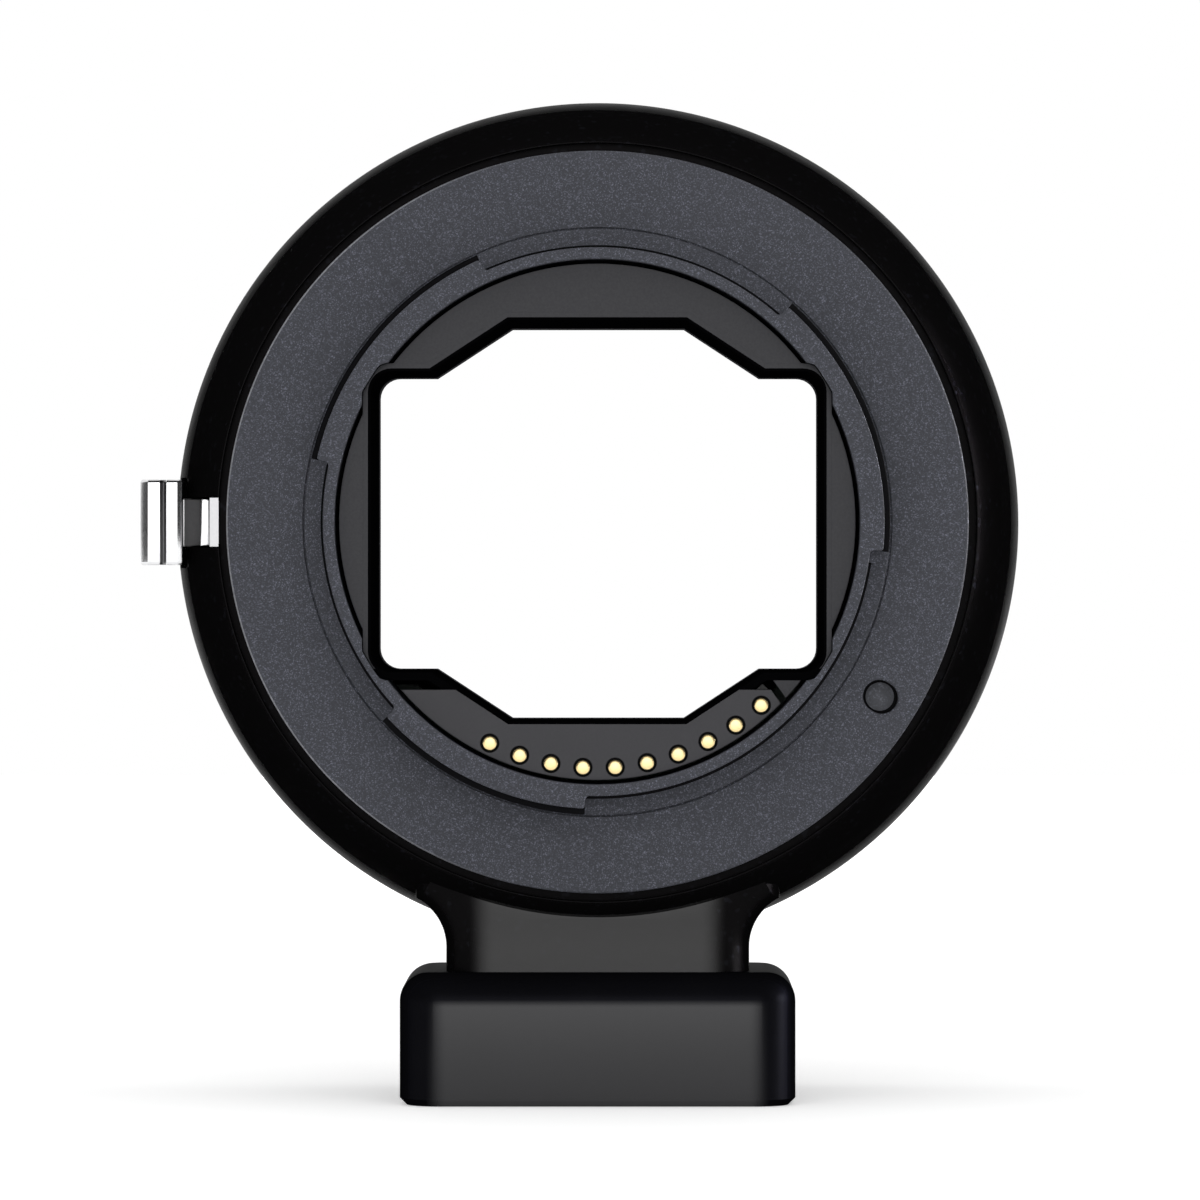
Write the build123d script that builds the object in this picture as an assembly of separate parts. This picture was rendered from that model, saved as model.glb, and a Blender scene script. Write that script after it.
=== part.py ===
from build123d import *
import math
import os

# A lens mount adapter. It carries a still lens on a camera with a shorter register, and it stands
# on a small tripod foot. The optical axis is Y. The face that meets the camera is at Y = 0 and the
# face that meets the lens is at Y = flange_depth. X is to the right seen from the camera, Z is up.
# Lengths are in millimetres, and angles in degrees from +X towards +Z. The radii are built up from
# the bore of the camera bayonet outwards, so that each ring clears the one inside it.

# The camera-side bayonet and its plate
bayonet_bore = 20.55
bayonet_wall = 0.9
bayonet_height = 4.2
camera_lug_reach = 1.0
camera_lug_thickness = 1.5
camera_lugs = [(-5.9, 48.3), (114.3, 167.5), (222.8, 267.5)]
lug_bite = 0.6  # how far a lug reaches into the tube's wall
lug_root_fillet = 0.45
lug_tip_fillet = 0.2
lug_stop_angle = 2.6
lug_stop_reach = 0.6
lug_stop_overlap = 0.6  # how far the stop runs up beside its lug
spigot_reach = 1.6  # from the bayonet tube to the spigot's edge
spigot_height = 0.5
camera_face_width = 6.2  # from the spigot's edge to the plate's edge
camera_plate_thickness = 2.5
camera_groove = 0.7  # the open ring round the plate
plate_edge_break = 0.2
camera_boss_wall = 1.4
camera_boss_length = 1.8
lock_hole_inset = 3.15  # from the spigot's edge to the hole's middle
lock_hole_angle = -31.7
lock_hole_width = 2.55
lock_hole_length = 2.8
lock_hole_depth = 1.6
camera_screw_inset = 2.2  # from the cavity's wall to the screws
camera_screw_angles = [75.0, 165.0, 255.0, 345.0]

# The light baffle
tunnel_half_width = 17.75
tunnel_block_room = 4.75  # between the opening and the bayonet bore, where the contacts lie
tunnel_shelf = 11.8
tunnel_flat = 6.96
tunnel_step = 13.07
tunnel_corner = 1.65
tunnel_wall = 0.6
corner_notch = 0.4  # how far the tunnel's corners reach into the bayonet tube
baffle_rear = -3.5
baffle_plate = 0.8
baffle_rim_gap = 0.35  # between the rear plate's rim and the bayonet bore
baffle_front_plate = 1.2
baffle_front_gap = 0.2  # between the front plate's rim and the cavity
baffle_setback = 6.3  # from the lens flange face to the baffle's front
window_margin_angle = 0.3
wedge_gap = 0.15
wedge_width = 1.15
wedge_drop = 1.6

# The barrel
flange_depth = 26.0  # from the camera flange face to the lens flange face
barrel_rear = 0.9  # where the barrel's rear edge starts
rear_wall = 2.0
post_radius = 2.2
post_gap = 1.45  # between the tunnel's corners and the posts
post_wall_distance = 3.2  # from the posts' middle to the cavity's wall
post_angles = [40.0, 140.0, 210.0, 330.0]
barrel_rim_wall = 1.5  # round the lens flange
front_rim_setback = 0.4  # the front rim lies this far below the lens flange face
front_chamfer = 0.8
shoulder_length = 15.5  # from the rear edge to where the straight cylinder starts
shoulder_start_out = 1.65  # how steeply the shoulder leaves the rear edge
shoulder_start_along = 1.7
shoulder_bend = 6.6
web_bite = 1.0  # how far a post's web reaches into the wall

# The lens-side mount
lens_flange_thickness = 1.8
lens_face_width = 5.5  # from the throat to the flange's edge
lens_tube_wall = 1.4
lens_tube_length = 2.35
spring_ledge = 0.6  # the step in the barrel that holds the sheet spring
lens_lug_reach = 1.6
lens_lug_bite = 0.5
lens_lug_tip_fillet = 0.5
lens_lug_thickness = 1.4
lens_lug_angles = [60.0, 180.0, 300.0]
lens_lug_span = 62.0
lens_screw_inset = 2.1  # from the flange's edge to the screws
lens_screw_angles = [45.0, 135.0, 225.0, 315.0]
spring_sheet = 0.25
spring_rim = 0.9
leaf_rise = 0.9
leaf_width = 1.35
leaf_gap = 0.15  # between a leaf and the throat
leaf_span = 40.0
leaf_tab = 5.0

# The camera-side contacts
pad_count = 10
pad_first_angle = 244.1
pad_pitch_angle = 7.52
pad_inset = 0.95  # from the rear plate's rim to the pads' middle
pad_radius = 0.575
pad_stem_radius = 0.35
pad_head = 0.3
camera_block_proud = 0.3  # how far the block stands out from the rear plate
camera_block_depth = 2.0
camera_block_drop = 0.75  # from the tunnel's shelf to the block's top edge
camera_block_corner = 0.53  # from the tunnel's step to the block's cut corner
corner_cut = 0.9
corner_slant = 1.3
corner_drop = 3.5

# The lens-side contacts
pin_count = 8
pin_pitch_angle = 6.3
pin_radius = 0.65
pin_collar_radius = 0.88
pin_collar = 0.6
pin_standout = 1.2
pin_travel = 1.0
pin_nose_flat = 0.2925
pin_nose_curve = 0.7  # how round the nose is, as a share of its edge
lens_block_proud = 0.9  # how far the block stands out from the baffle's front
pin_spring_room = 3.9  # the spring's length with its pin down
lens_block_roof = 1.1
lens_block_inset = 3.2  # from the cavity's wall to the block
lens_block_width = 4.2
lens_block_span = 54.0
lens_block_ear = 7.0  # the angle that each screw ear adds
lens_block_flange_edge = 0.8
lens_block_flange_thickness = 1.5
ear_screw_angle = 3.9  # from the block's end to its screw
pin_spring_wire = 0.16
pin_spring_turns = 5
coil_steps = 8  # straight steps in a coil's turn
coil_end = 0.75  # how far a coil's end stays from its seat, in wire sizes

# The circuit board and its ribbons
board_standoff = 1.5
board_thickness = 0.8
board_rim_gap = 0.6  # between the board and the cavity's wall
board_width = 7.9
board_tunnel_gap = 0.5
board_start = 217.0
board_end = 323.0
board_screw_inset = 2.7
board_screw_angles = [238.0, 302.0]
board_post_radius = 1.8
ribbon_thickness = 0.2
ribbon_half_width = 5.0
rear_strip_inner = 1.1  # the ribbon's reach on either side of the pads
rear_strip_outer = 0.75
rear_ribbon_inset = 0.85
front_ribbon_inset = 0.3
front_strip_edge = 0.2
connector_half_width = 5.6
connector_height = 1.6
connector_depth = 1.1
rear_connector_drop = 2.0
controller_size = 4.6
controller_angle = 225.5
regulator_size = 3.4
regulator_angle = 313.5
chip_height = 0.9
small_chip_width = 0.9
small_chip_length = 1.7
small_chip_height = 0.7
small_chip_inset = 1.6
small_chip_angles = [248.0, 292.0, 307.0, 319.5]

# The lens release
lever_travel = 2.6
lever_height = 6.75
lever_thickness = 3.35
lever_sink = 1.1  # how far the head reaches into the barrel
lever_head_rear = 3.2
lever_head_length = 7.8
lever_edge = 0.5  # the chamfers along the head
lever_groove_shift = 0.15
lever_groove_half = 0.2
lever_groove_depth = 0.35
grip_count = 4
grip_pitch = 1.4
grip_first = 1.2
grip_half = 0.35
grip_depth = 0.35
lever_neck_height = 3.85
lever_neck_rear = 5.2
lever_neck_length = 3.6
lever_arm_offset = 1.75  # from the lock pin's axis out to the arm's outer face
lever_arm_thickness = 0.8
lever_arm_rear = 3.4
lever_arm_round = 0.36
lever_foot_setback = 6.6  # from the lens flange's seat to the foot of the lever
lever_foot_thickness = 1.6
lever_foot_half = 1.7
head_gap = 0.25  # round the head in its pocket
head_lift = 0.2  # between the head and the pocket's floor
guide_thickness = 0.7
guide_rear = 1.1
guide_flat_depth = 0.2
guide_screw_first = 6.6
guide_screw_spacing = 4.2
lock_pin_inset = 2.75  # from the lens flange's edge to the pin's axis
lock_pin_radius = 0.9
lock_pin_edge = 0.3
lock_pin_seat_wall = 0.45  # the lever's foot round the pin
lock_pin_standout = 1.3
lock_spring_length = 4.4
lock_spring_wire = 0.3
lock_spring_turns = 4

# The tripod foot and the neck that carries it
neck_half_width = 12.05
neck_front = 2.7
neck_back = 16.8
neck_length = 1.6  # from the barrel's lowest point to the foot
neck_flare = 4.3
neck_flare_sink = 0.8  # how far inside the barrel's outside the flare runs out
neck_edge = 3.0
foot_half_width = 15.68
foot_height = 10.5
foot_front_overhang = 2.3
foot_back_overhang = 2.2
foot_corner = 3.2
foot_top_fillet = 2.3
foot_bottom_chamfer = 0.55
foot_boss_radius = 5.5
foot_boss_length = 1.8
foot_screw_spacing = 18.0
foot_screw_head_depth = 6.0
foot_screw_reach = 4.6
foot_key_radius = 1.25
foot_key_depth = 1.3
tripod_thread_radius = 2.6  # inside a 1/4 inch, 20 to the inch thread
tripod_bush_radius = 4.5
tripod_bush_flange = 1.2
tripod_bush_recess = 0.15

# Index dots
dot_radius = 1.0
dot_depth = 0.4
dot_inset = 0.03
lens_dot_angle = 90.0
lens_dot_inset = 2.5  # from the lens flange's edge
camera_dot_angle = 118.0
camera_dot_setback = 5.5  # from the lens flange face

# Screws
lens_screw_head = 1.9
lens_screw_head_height = 1.2
lens_screw_shank = 1.0
lens_screw_length = 5.5
camera_screw_head = 1.8
camera_screw_head_height = 1.1
camera_screw_shank = 1.0
camera_screw_length = 3.7
small_screw_head = 1.3
small_screw_head_height = 0.7
small_screw_shank = 0.7
small_screw_length = 4.0
board_screw_length = 3.4
guide_screw_head = 1.1
guide_screw_head_height = 0.6
guide_screw_shank = 0.6
guide_screw_length = 2.3
foot_screw_head = 2.3
foot_screw_head_height = 2.2
foot_screw_shank = 1.25
screw_end_room = 0.5
head_edge_share = 0.35  # the chamfer of a screw's head, as a share of its height

# Clearances
seat_gap = 0.05  # round a part that drops into a seat
running_gap = 0.1  # beside a part that slides
pin_gap = 0.04  # round a sliding pin
thread_gap = 0.02  # between a screw and its thread
well_gap = 0.2  # round a screw's head in its well
fuse = 0.1  # how far joined shapes reach into each other
through = 1.0  # how far a cutter passes a face

# Radii that follow, from the bayonet's bore outwards
bayonet_outer = bayonet_bore + bayonet_wall
camera_lug_radius = bayonet_outer + camera_lug_reach
lug_inner = bayonet_outer - lug_bite
spigot_radius = bayonet_outer + spigot_reach
lock_hole_circle = spigot_radius + lock_hole_inset
camera_plate_radius = spigot_radius + camera_face_width
recess_radius = camera_plate_radius + camera_groove
camera_boss_radius = bayonet_bore + camera_boss_wall
tunnel_half_height = bayonet_bore - tunnel_block_room
tunnel_corner_reach = bayonet_bore + corner_notch
post_circle = tunnel_corner_reach + post_gap + post_radius
cavity_radius = post_circle + post_wall_distance
camera_screw_circle = cavity_radius - camera_screw_inset
lens_tube_radius = cavity_radius + spring_ledge
lens_throat = lens_tube_radius - lens_tube_wall
lens_lug_bore = lens_throat - lens_lug_reach
lens_flange_radius = lens_throat + lens_face_width
lens_screw_circle = lens_flange_radius - lens_screw_inset
lens_dot_circle = lens_flange_radius - lens_dot_inset
barrel_radius = lens_flange_radius + barrel_rim_wall
spring_inner = lens_tube_radius - spring_rim
leaf_outer = lens_throat - leaf_gap
leaf_inner = leaf_outer - leaf_width
baffle_rim = bayonet_bore - baffle_rim_gap
pad_circle = baffle_rim - pad_inset
lens_block_outer = cavity_radius - lens_block_inset
lens_block_inner = lens_block_outer - lens_block_width
pin_circle = (lens_block_inner + lens_block_outer) / 2
board_outer = cavity_radius - board_rim_gap
board_inner = board_outer - board_width
board_middle = (board_inner + board_outer) / 2
board_screw_circle = board_outer - board_screw_inset

# Places along the axis that follow
camera_seat = camera_plate_thickness  # the plate's back lies on the barrel here
rear_wall_front = camera_seat + rear_wall
shoulder_end = barrel_rear + shoulder_length
barrel_front = flange_depth - front_rim_setback
lens_seat = flange_depth - lens_flange_thickness
lens_tube_end = lens_seat - lens_tube_length
spring_seat = lens_tube_end - spring_sheet
baffle_front = flange_depth - baffle_setback
baffle_seat = baffle_front - baffle_front_plate
board_rear = rear_wall_front + board_standoff
board_front = board_rear + board_thickness
camera_block_face = baffle_rear - camera_block_proud
camera_block_back = camera_block_face + camera_block_depth
lens_block_front = baffle_front + lens_block_proud
pin_roof = lens_block_front - lens_block_roof
pin_spring_top = pin_roof - pin_collar
lens_block_back = pin_spring_top - pin_travel - pin_spring_room
camera_dot_y = flange_depth - camera_dot_setback

# Heights and angles that follow
camera_block_top = -(tunnel_shelf + tunnel_wall + camera_block_drop)
camera_block_corner_x = tunnel_step + camera_block_corner
rear_ribbon_z = -(pad_circle - rear_ribbon_inset)
rear_connector_z = rear_ribbon_z - rear_connector_drop
front_ribbon_z = -(lens_block_outer - front_ribbon_inset)
pad_angles = [pad_first_angle + pad_pitch_angle * step for step in range(pad_count)]
pin_angles = [270.0 + pin_pitch_angle * (step - (pin_count - 1) / 2) for step in range(pin_count)]
lens_block_flange_span = lens_block_span + 2 * lens_block_ear
ear_screws = [270 - lens_block_span / 2 - ear_screw_angle, 270 + lens_block_span / 2 + ear_screw_angle]

# The lens release, in a channel on the -X side
lock_pin_circle = lens_flange_radius - lock_pin_inset
lever_inner = barrel_radius - lever_sink
lever_outer = lever_inner + lever_thickness
lever_head_front = lever_head_rear + lever_head_length
lever_neck_front = lever_neck_rear + lever_neck_length
lever_arm_outer = lock_pin_circle + lever_arm_offset
lever_arm_inner = lever_arm_outer - lever_arm_thickness
lever_foot_rear = lens_seat - lever_foot_setback
lever_foot_front = lever_foot_rear + lever_foot_thickness
lever_foot_inner = lock_pin_circle - lock_pin_radius - lock_pin_seat_wall
guide_outer = lever_arm_inner - running_gap
guide_inner = guide_outer - guide_thickness
guide_seat = cavity_radius + guide_flat_depth
guide_screw_places = [guide_screw_first, guide_screw_first + guide_screw_spacing]
channel_outer = lever_arm_outer + running_gap
channel_half = lever_neck_height / 2 + running_gap
chamber_front = lever_foot_front + running_gap
chamber_inner = lever_foot_inner - running_gap
head_pocket = lever_inner - head_lift
lock_spring_seat = lever_foot_rear - lock_spring_length

# The foot
neck_flare_radius = barrel_radius - neck_flare_sink
neck_bottom = -(barrel_radius + neck_length)
foot_bottom = neck_bottom - foot_height
foot_front = neck_front - foot_front_overhang
foot_back = neck_back + foot_back_overhang
foot_middle = (neck_front + neck_back) / 2
foot_screw_xs = [-foot_screw_spacing / 2, foot_screw_spacing / 2]
bush_top = neck_bottom - foot_boss_length
bush_step = bush_top - tripod_bush_flange


def prism(sketch, y_start, y_end):
    """A prism along Y of a face drawn in X and Z."""
    return extrude(Plane.XZ.offset(-y_start) * sketch, -(y_end - y_start))


def turned(points):
    """A ring turned about Y from points of radius and Y."""
    return revolve(make_face(Polyline(*points, close=True)), Axis.Y)


def disc(radius, y_start, y_end):
    """A round plate about Y."""
    return prism(Circle(radius), y_start, y_end)


def polar(radius, angle, y=0.0):
    """The place at a radius and an angle round the axis."""
    turn = math.radians(angle)
    return Pos(radius * math.cos(turn), y, radius * math.sin(turn))


def hole(circle, angle, radius, y_start, y_end):
    """A round hole along Y at a place on a circle."""
    return polar(circle, angle) * disc(radius, y_start, y_end)


def sector(inner, outer, start, end):
    """A face between two radii and two angles, drawn in X and Z."""
    outside = CenterArc((0, 0), outer, start, end - start)
    inside = CenterArc((0, 0), inner, start, end - start)
    sides = [Line(outside @ 0, inside @ 0), Line(outside @ 1, inside @ 1)]
    return make_face([outside.edge(), inside.edge(), sides[0].edge(), sides[1].edge()])


def box(x_range, y_range, z_range):
    """A box from its three ranges."""
    ranges = (x_range, y_range, z_range)
    middle = [(low + high) / 2 for low, high in ranges]
    size = [abs(high - low) for low, high in ranges]
    return Pos(*middle) * Box(*size)


def side_prism(points, half_width):
    """A prism along X of an outline given in Y and Z."""
    outline = make_face(Polyline(*points, close=True))
    return extrude(Plane.YZ.offset(-half_width) * outline, 2 * half_width)


def upright(radius, x, z_low, z_high):
    """A round bar along Z in the middle of the foot's depth."""
    bar = Cylinder(radius, z_high - z_low, align=(Align.CENTER, Align.CENTER, Align.MIN))
    return Pos(x, foot_middle, z_low) * bar


def pan_screw(head, head_height, shank, length):
    """A screw along Y with its head on the +Y side, seated at Y = 0."""
    edge = head_height * head_edge_share
    return turned([(0, -length), (shank, -length), (shank, 0), (head, 0), (head, head_height - edge),
                   (head - edge, head_height), (0, head_height)])


def flat_screw(head, head_height, shank, length):
    """A countersunk screw along Y with its head's face at Y = 0."""
    return turned([(0, -length), (shank, -length), (shank, -head_height), (head, 0), (0, 0)])


def small_screw():
    """The screw that holds the baffle and the lens contact block."""
    return pan_screw(small_screw_head, small_screw_head_height, small_screw_shank, small_screw_length)


def spring(radius, wire, turns, y_start, y_end):
    """A wire coil about Y that fills the room between two seats, in straight steps."""
    count = turns * coil_steps
    first = y_start + coil_end * wire
    rise = (y_end - coil_end * wire - first) / count
    points = []
    for step in range(count + 1):
        turn = 2 * math.pi * step / coil_steps
        points.append((radius * math.cos(turn), first + rise * step, radius * math.sin(turn)))
    path = Polyline(*points)
    section = Plane(origin=path @ 0, x_dir=(1, 0, 0), z_dir=path % 0) * Rectangle(wire, wire)
    return sweep(section, path=path, transition=Transition.RIGHT)


def placed(solid, circle, angles, y=0.0):
    """Copies of a solid round the axis, as one group."""
    return Compound(children=[polar(circle, angle, y) * solid for angle in angles])


def tunnel_outline(grow=0.0):
    """The stepped eight-sided light opening, grown by a wall."""
    quarter = [(tunnel_flat, tunnel_half_height), (tunnel_step, tunnel_shelf),
               (tunnel_half_width, tunnel_shelf)]
    right = quarter + [(x, -z) for x, z in reversed(quarter)]
    left = [(-x, -z) for x, z in right]
    outline = make_face(Polyline(*right, *left, close=True))
    corners = [v for v in outline.vertices() if abs(abs(v.X) - tunnel_half_width) < seat_gap]
    outline = fillet(corners, tunnel_corner)
    if grow > 0:
        outline = offset(outline, amount=grow, kind=Kind.INTERSECTION)
    return outline


def trimmed_tunnel(grow, reach):
    """The tunnel's outside, cut back at its corners to a radius."""
    return tunnel_outline(grow) & Circle(reach)


def shoulder_profile():
    """The barrel's outside from its rear edge to its front rim, as radius and Y."""
    shoulder = Bezier((recess_radius, barrel_rear),
                      (recess_radius + shoulder_start_out, barrel_rear + shoulder_start_along),
                      (barrel_radius, barrel_rear + shoulder_bend),
                      (barrel_radius, shoulder_end))
    chamfer_start = (barrel_radius, barrel_front - front_chamfer)
    rim = (barrel_radius - front_chamfer, barrel_front)
    cylinder = Line((barrel_radius, shoulder_end), chamfer_start)
    chamfer_line = Line(chamfer_start, rim)
    inside = Polyline(rim, (0, barrel_front), (0, barrel_rear), (recess_radius, barrel_rear))
    return make_face([shoulder.edge(), cylinder.edge(), chamfer_line.edge(), *inside.edges()])


def neck():
    """The neck under the barrel, flared where it leaves it."""
    centre_x = neck_half_width + neck_flare
    centre_z = -math.sqrt((neck_flare_radius + neck_flare) ** 2 - centre_x ** 2)
    inner = neck_flare_radius / (neck_flare_radius + neck_flare)
    touch = (centre_x * inner, centre_z * inner)
    half_turn = (180 + math.degrees(math.atan2(-centre_z, -centre_x))) / 2
    turn = math.radians(half_turn)
    middle = (centre_x + neck_flare * math.cos(turn), centre_z + neck_flare * math.sin(turn))
    top = -post_circle
    flare = ThreePointArc(touch, middle, (neck_half_width, centre_z))
    rest = Polyline((neck_half_width, centre_z), (neck_half_width, neck_bottom), (0, neck_bottom),
                    (0, top), (touch[0], top), touch)
    half = make_face([flare.edge(), *rest.edges()])
    solid = prism(half + mirror(half, Plane.YZ), neck_front, neck_back)
    sides = []
    for edge in solid.edges():
        place = edge @ 0.5
        at_end = min(abs(place.Y - neck_front), abs(place.Y - neck_back)) < seat_gap
        if at_end and neck_bottom + seat_gap < place.Z < top - seat_gap:
            sides.append(edge)
    return fillet(sides, neck_edge)


def barrel():
    """The body with its neck, its hollows, its posts and the room for the lens release."""
    body = revolve(shoulder_profile(), Axis.Y) + neck()
    tube_room = lens_tube_radius + seat_gap
    flange_room = lens_flange_radius + seat_gap
    boss_room = camera_boss_radius + seat_gap
    front_end = barrel_front + through
    body -= turned([(0, rear_wall_front), (cavity_radius, rear_wall_front), (cavity_radius, spring_seat),
                    (tube_room, spring_seat), (tube_room, lens_seat), (flange_room, lens_seat),
                    (flange_room, front_end), (0, front_end)])
    body -= turned([(0, barrel_rear - through), (recess_radius, barrel_rear - through),
                    (recess_radius, camera_seat), (boss_room, camera_seat),
                    (boss_room, rear_wall_front + through), (0, rear_wall_front + through)])
    for angle in post_angles:
        body += baffle_post(angle)
    for angle in board_screw_angles:
        body += hole(board_screw_circle, angle, board_post_radius, rear_wall_front, board_rear)
    body -= barrel_holes()
    body -= lever_room()
    return body + upright(foot_boss_radius, 0, bush_top, neck_bottom)


def baffle_post(angle):
    """A post with a web that joins it to the wall, and the baffle on its end."""
    reach = cavity_radius + web_bite - post_circle
    web = Rectangle(reach, 2 * post_radius, align=(Align.MIN, Align.CENTER))
    face = Pos(post_circle, 0) * (Circle(post_radius) + web)
    return prism(Rot(0, 0, angle) * face, rear_wall_front, baffle_seat)


def barrel_holes():
    """Every screw hole in the barrel, and the seat of the index dot."""
    cuts = []
    for angle in camera_screw_angles:
        cuts.append(hole(camera_screw_circle, angle, camera_screw_shank + running_gap,
                         camera_seat - through, rear_wall_front + through))
    for angle in lens_screw_angles:
        bottom = flange_depth - lens_screw_length - screw_end_room
        cuts.append(hole(lens_screw_circle, angle, lens_screw_shank + thread_gap, bottom,
                         lens_seat + through))
    for angle in post_angles:
        bottom = baffle_front - small_screw_length - screw_end_room
        cuts.append(hole(post_circle, angle, small_screw_shank + thread_gap, bottom, baffle_seat + through))
    for angle in board_screw_angles:
        bottom = board_front - board_screw_length - screw_end_room
        cuts.append(hole(board_screw_circle, angle, small_screw_shank + thread_gap, bottom,
                         board_rear + through))
    for x in foot_screw_xs:
        top = neck_bottom + foot_screw_reach + screw_end_room
        cuts.append(upright(foot_screw_shank + thread_gap, x, neck_bottom - through, top))
    cuts.append(dot_plug())
    return cuts


def dot_plug():
    """A round bar from the index dot's seat outwards."""
    turn = math.radians(camera_dot_angle)
    outwards = Plane(origin=(0, camera_dot_y, 0), z_dir=(math.cos(turn), 0, math.sin(turn)))
    return extrude(outwards.offset(barrel_radius - dot_depth) * Circle(dot_radius), 2 * dot_depth)


def lever_room():
    """The channel, spring chamber, neck window, head pocket and pin bore of the lens release."""
    outside = -(barrel_radius + through)
    pocket_half = lever_height / 2 + head_gap
    width = (-channel_half, channel_half)
    cuts = [
        box((-channel_outer, -guide_inner), (barrel_rear - through, lock_spring_seat), width),
        box((-channel_outer, -chamber_inner), (lock_spring_seat, chamber_front), width),
        box((outside, fuse - channel_outer),
            (lever_neck_rear - lever_travel - running_gap, lever_neck_front + running_gap), width),
        box((outside, -head_pocket), (barrel_rear - through, lever_head_front + head_gap),
            (-pocket_half, pocket_half)),
        hole(lock_pin_circle, 180, lock_pin_radius + pin_gap, chamber_front - through, lens_seat + through),
    ]
    for y in guide_screw_places:
        cuts.append(guide_screw_hole(y))
    return cuts


def guide_screw_hole(y):
    """A hole from the cavity into the lever's channel, with a flat for the screw's head."""
    flat = Cylinder(guide_screw_head + running_gap, 2 * through, rotation=(0, 90, 0))
    reach = 2 * (guide_inner - guide_seat + fuse)
    drill = Cylinder(guide_screw_shank + thread_gap, reach, rotation=(0, 90, 0))
    return Pos(through - guide_seat, y, 0) * flat + Pos(-guide_seat, y, 0) * drill


def rear_mount():
    """The camera-side plate with its spigot, its bayonet tube and its three lugs."""
    boss_end = camera_seat + camera_boss_length
    lug_front = camera_lug_thickness - bayonet_height
    plate = turned([(bayonet_bore, -bayonet_height), (bayonet_outer, -bayonet_height),
                    (bayonet_outer, -spigot_height), (spigot_radius, -spigot_height), (spigot_radius, 0),
                    (camera_plate_radius - plate_edge_break, 0), (camera_plate_radius, plate_edge_break),
                    (camera_plate_radius, camera_seat), (camera_boss_radius, camera_seat),
                    (camera_boss_radius, boss_end), (bayonet_bore, boss_end)])
    for start, end in camera_lugs:
        plate += prism(lug_face(start, end), -bayonet_height, lug_front)
    first_lug = camera_lugs[0][0]
    stop = sector(lug_inner, bayonet_outer + lug_stop_reach, first_lug - lug_stop_angle, first_lug + 1)
    plate += prism(stop, lug_front - lug_stop_overlap, fuse - spigot_height)
    notch = trimmed_tunnel(tunnel_wall + seat_gap, tunnel_corner_reach + seat_gap)
    plate -= prism(notch, -bayonet_height - through, boss_end + through)
    slot = SlotCenterToCenter(lock_hole_length - lock_hole_width, lock_hole_width)
    slot_face = Rot(0, 0, lock_hole_angle) * Pos(lock_hole_circle, 0) * slot
    plate -= prism(slot_face, -through, lock_hole_depth)
    for angle in camera_screw_angles:
        bottom = rear_wall_front - camera_screw_length - fuse
        plate -= hole(camera_screw_circle, angle, camera_screw_shank + thread_gap, bottom,
                      camera_seat + through)
    return plate


def lug_face(start, end):
    """A lug of the camera bayonet with rounded tips and hollow roots, as a face."""
    lug = sector(lug_inner, camera_lug_radius, start, end)
    blank = lug + (Circle(bayonet_outer) - Circle(lug_inner))
    tips = [v for v in blank.vertices() if math.hypot(v.X, v.Y) > camera_lug_radius - seat_gap]
    blank = fillet(tips, lug_tip_fillet)
    roots = [v for v in blank.vertices()
             if abs(math.hypot(v.X, v.Y) - bayonet_outer) < seat_gap
             and near_lug_end(math.degrees(math.atan2(v.Y, v.X)), start, end)]
    return fillet(roots, lug_root_fillet)


def near_lug_end(angle, start, end):
    """True where an angle lies at an end of a lug."""
    return any(abs((angle - side + 180) % 360 - 180) < 1.5 for side in (start, end))


def baffle():
    """The moulded light tunnel with its rear and front plates."""
    body = prism(trimmed_tunnel(tunnel_wall, tunnel_corner_reach), baffle_rear, baffle_front)
    body += prism(Circle(baffle_rim) - block_clearance(), baffle_rear, baffle_rear + baffle_plate)
    body += disc(cavity_radius - baffle_front_gap, baffle_seat, baffle_front)
    body -= prism(tunnel_outline(), baffle_rear - through, baffle_front + through)
    window_half = lens_block_span / 2 + window_margin_angle
    window = sector(lens_block_inner - running_gap, lens_block_outer + running_gap,
                    270 - window_half, 270 + window_half)
    body -= prism(window, baffle_seat - fuse, baffle_front + through)
    screws = [(post_circle, angle) for angle in post_angles]
    screws += [(pin_circle, angle) for angle in ear_screws]
    for circle, angle in screws:
        body -= hole(circle, angle, small_screw_shank + running_gap, baffle_seat - through,
                     baffle_front + through)
    return body


def block_clearance():
    """The part of the rear plate that the contact block and its two pockets take."""
    shelf = -(tunnel_shelf + tunnel_wall)
    wedge_x = camera_block_corner_x + wedge_gap
    reach = baffle_rim + through
    points = [(-reach, shelf), (wedge_x, shelf), (wedge_x + wedge_width, shelf - wedge_drop),
              (wedge_x + wedge_width, -reach), (-reach, -reach)]
    return make_face(Polyline(*points, close=True))


def rear_contact_block():
    """The moulded block under the tunnel that carries the camera contacts."""
    reach = baffle_rim + through
    below = Pos(0, camera_block_top) * Rectangle(2 * reach, 2 * reach, align=(Align.CENTER, Align.MAX))
    face = (Circle(baffle_rim) & below) - tunnel_outline(tunnel_wall + seat_gap)
    cut_x = camera_block_corner_x
    corner = make_face(Polyline((cut_x, camera_block_top + through), (cut_x, camera_block_top),
                                (cut_x + corner_cut, camera_block_top - corner_slant),
                                (cut_x + corner_cut, camera_block_top - corner_drop),
                                (reach, camera_block_top - corner_drop),
                                (reach, camera_block_top + through), close=True))
    block = prism(face - corner, camera_block_face, camera_block_back)
    for angle in pad_angles:
        block -= hole(pad_circle, angle, pad_radius + seat_gap, camera_block_face - through,
                      camera_block_face + pad_head)
        block -= hole(pad_circle, angle, pad_stem_radius + seat_gap, camera_block_face,
                      camera_block_back + through)
    return block


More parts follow.
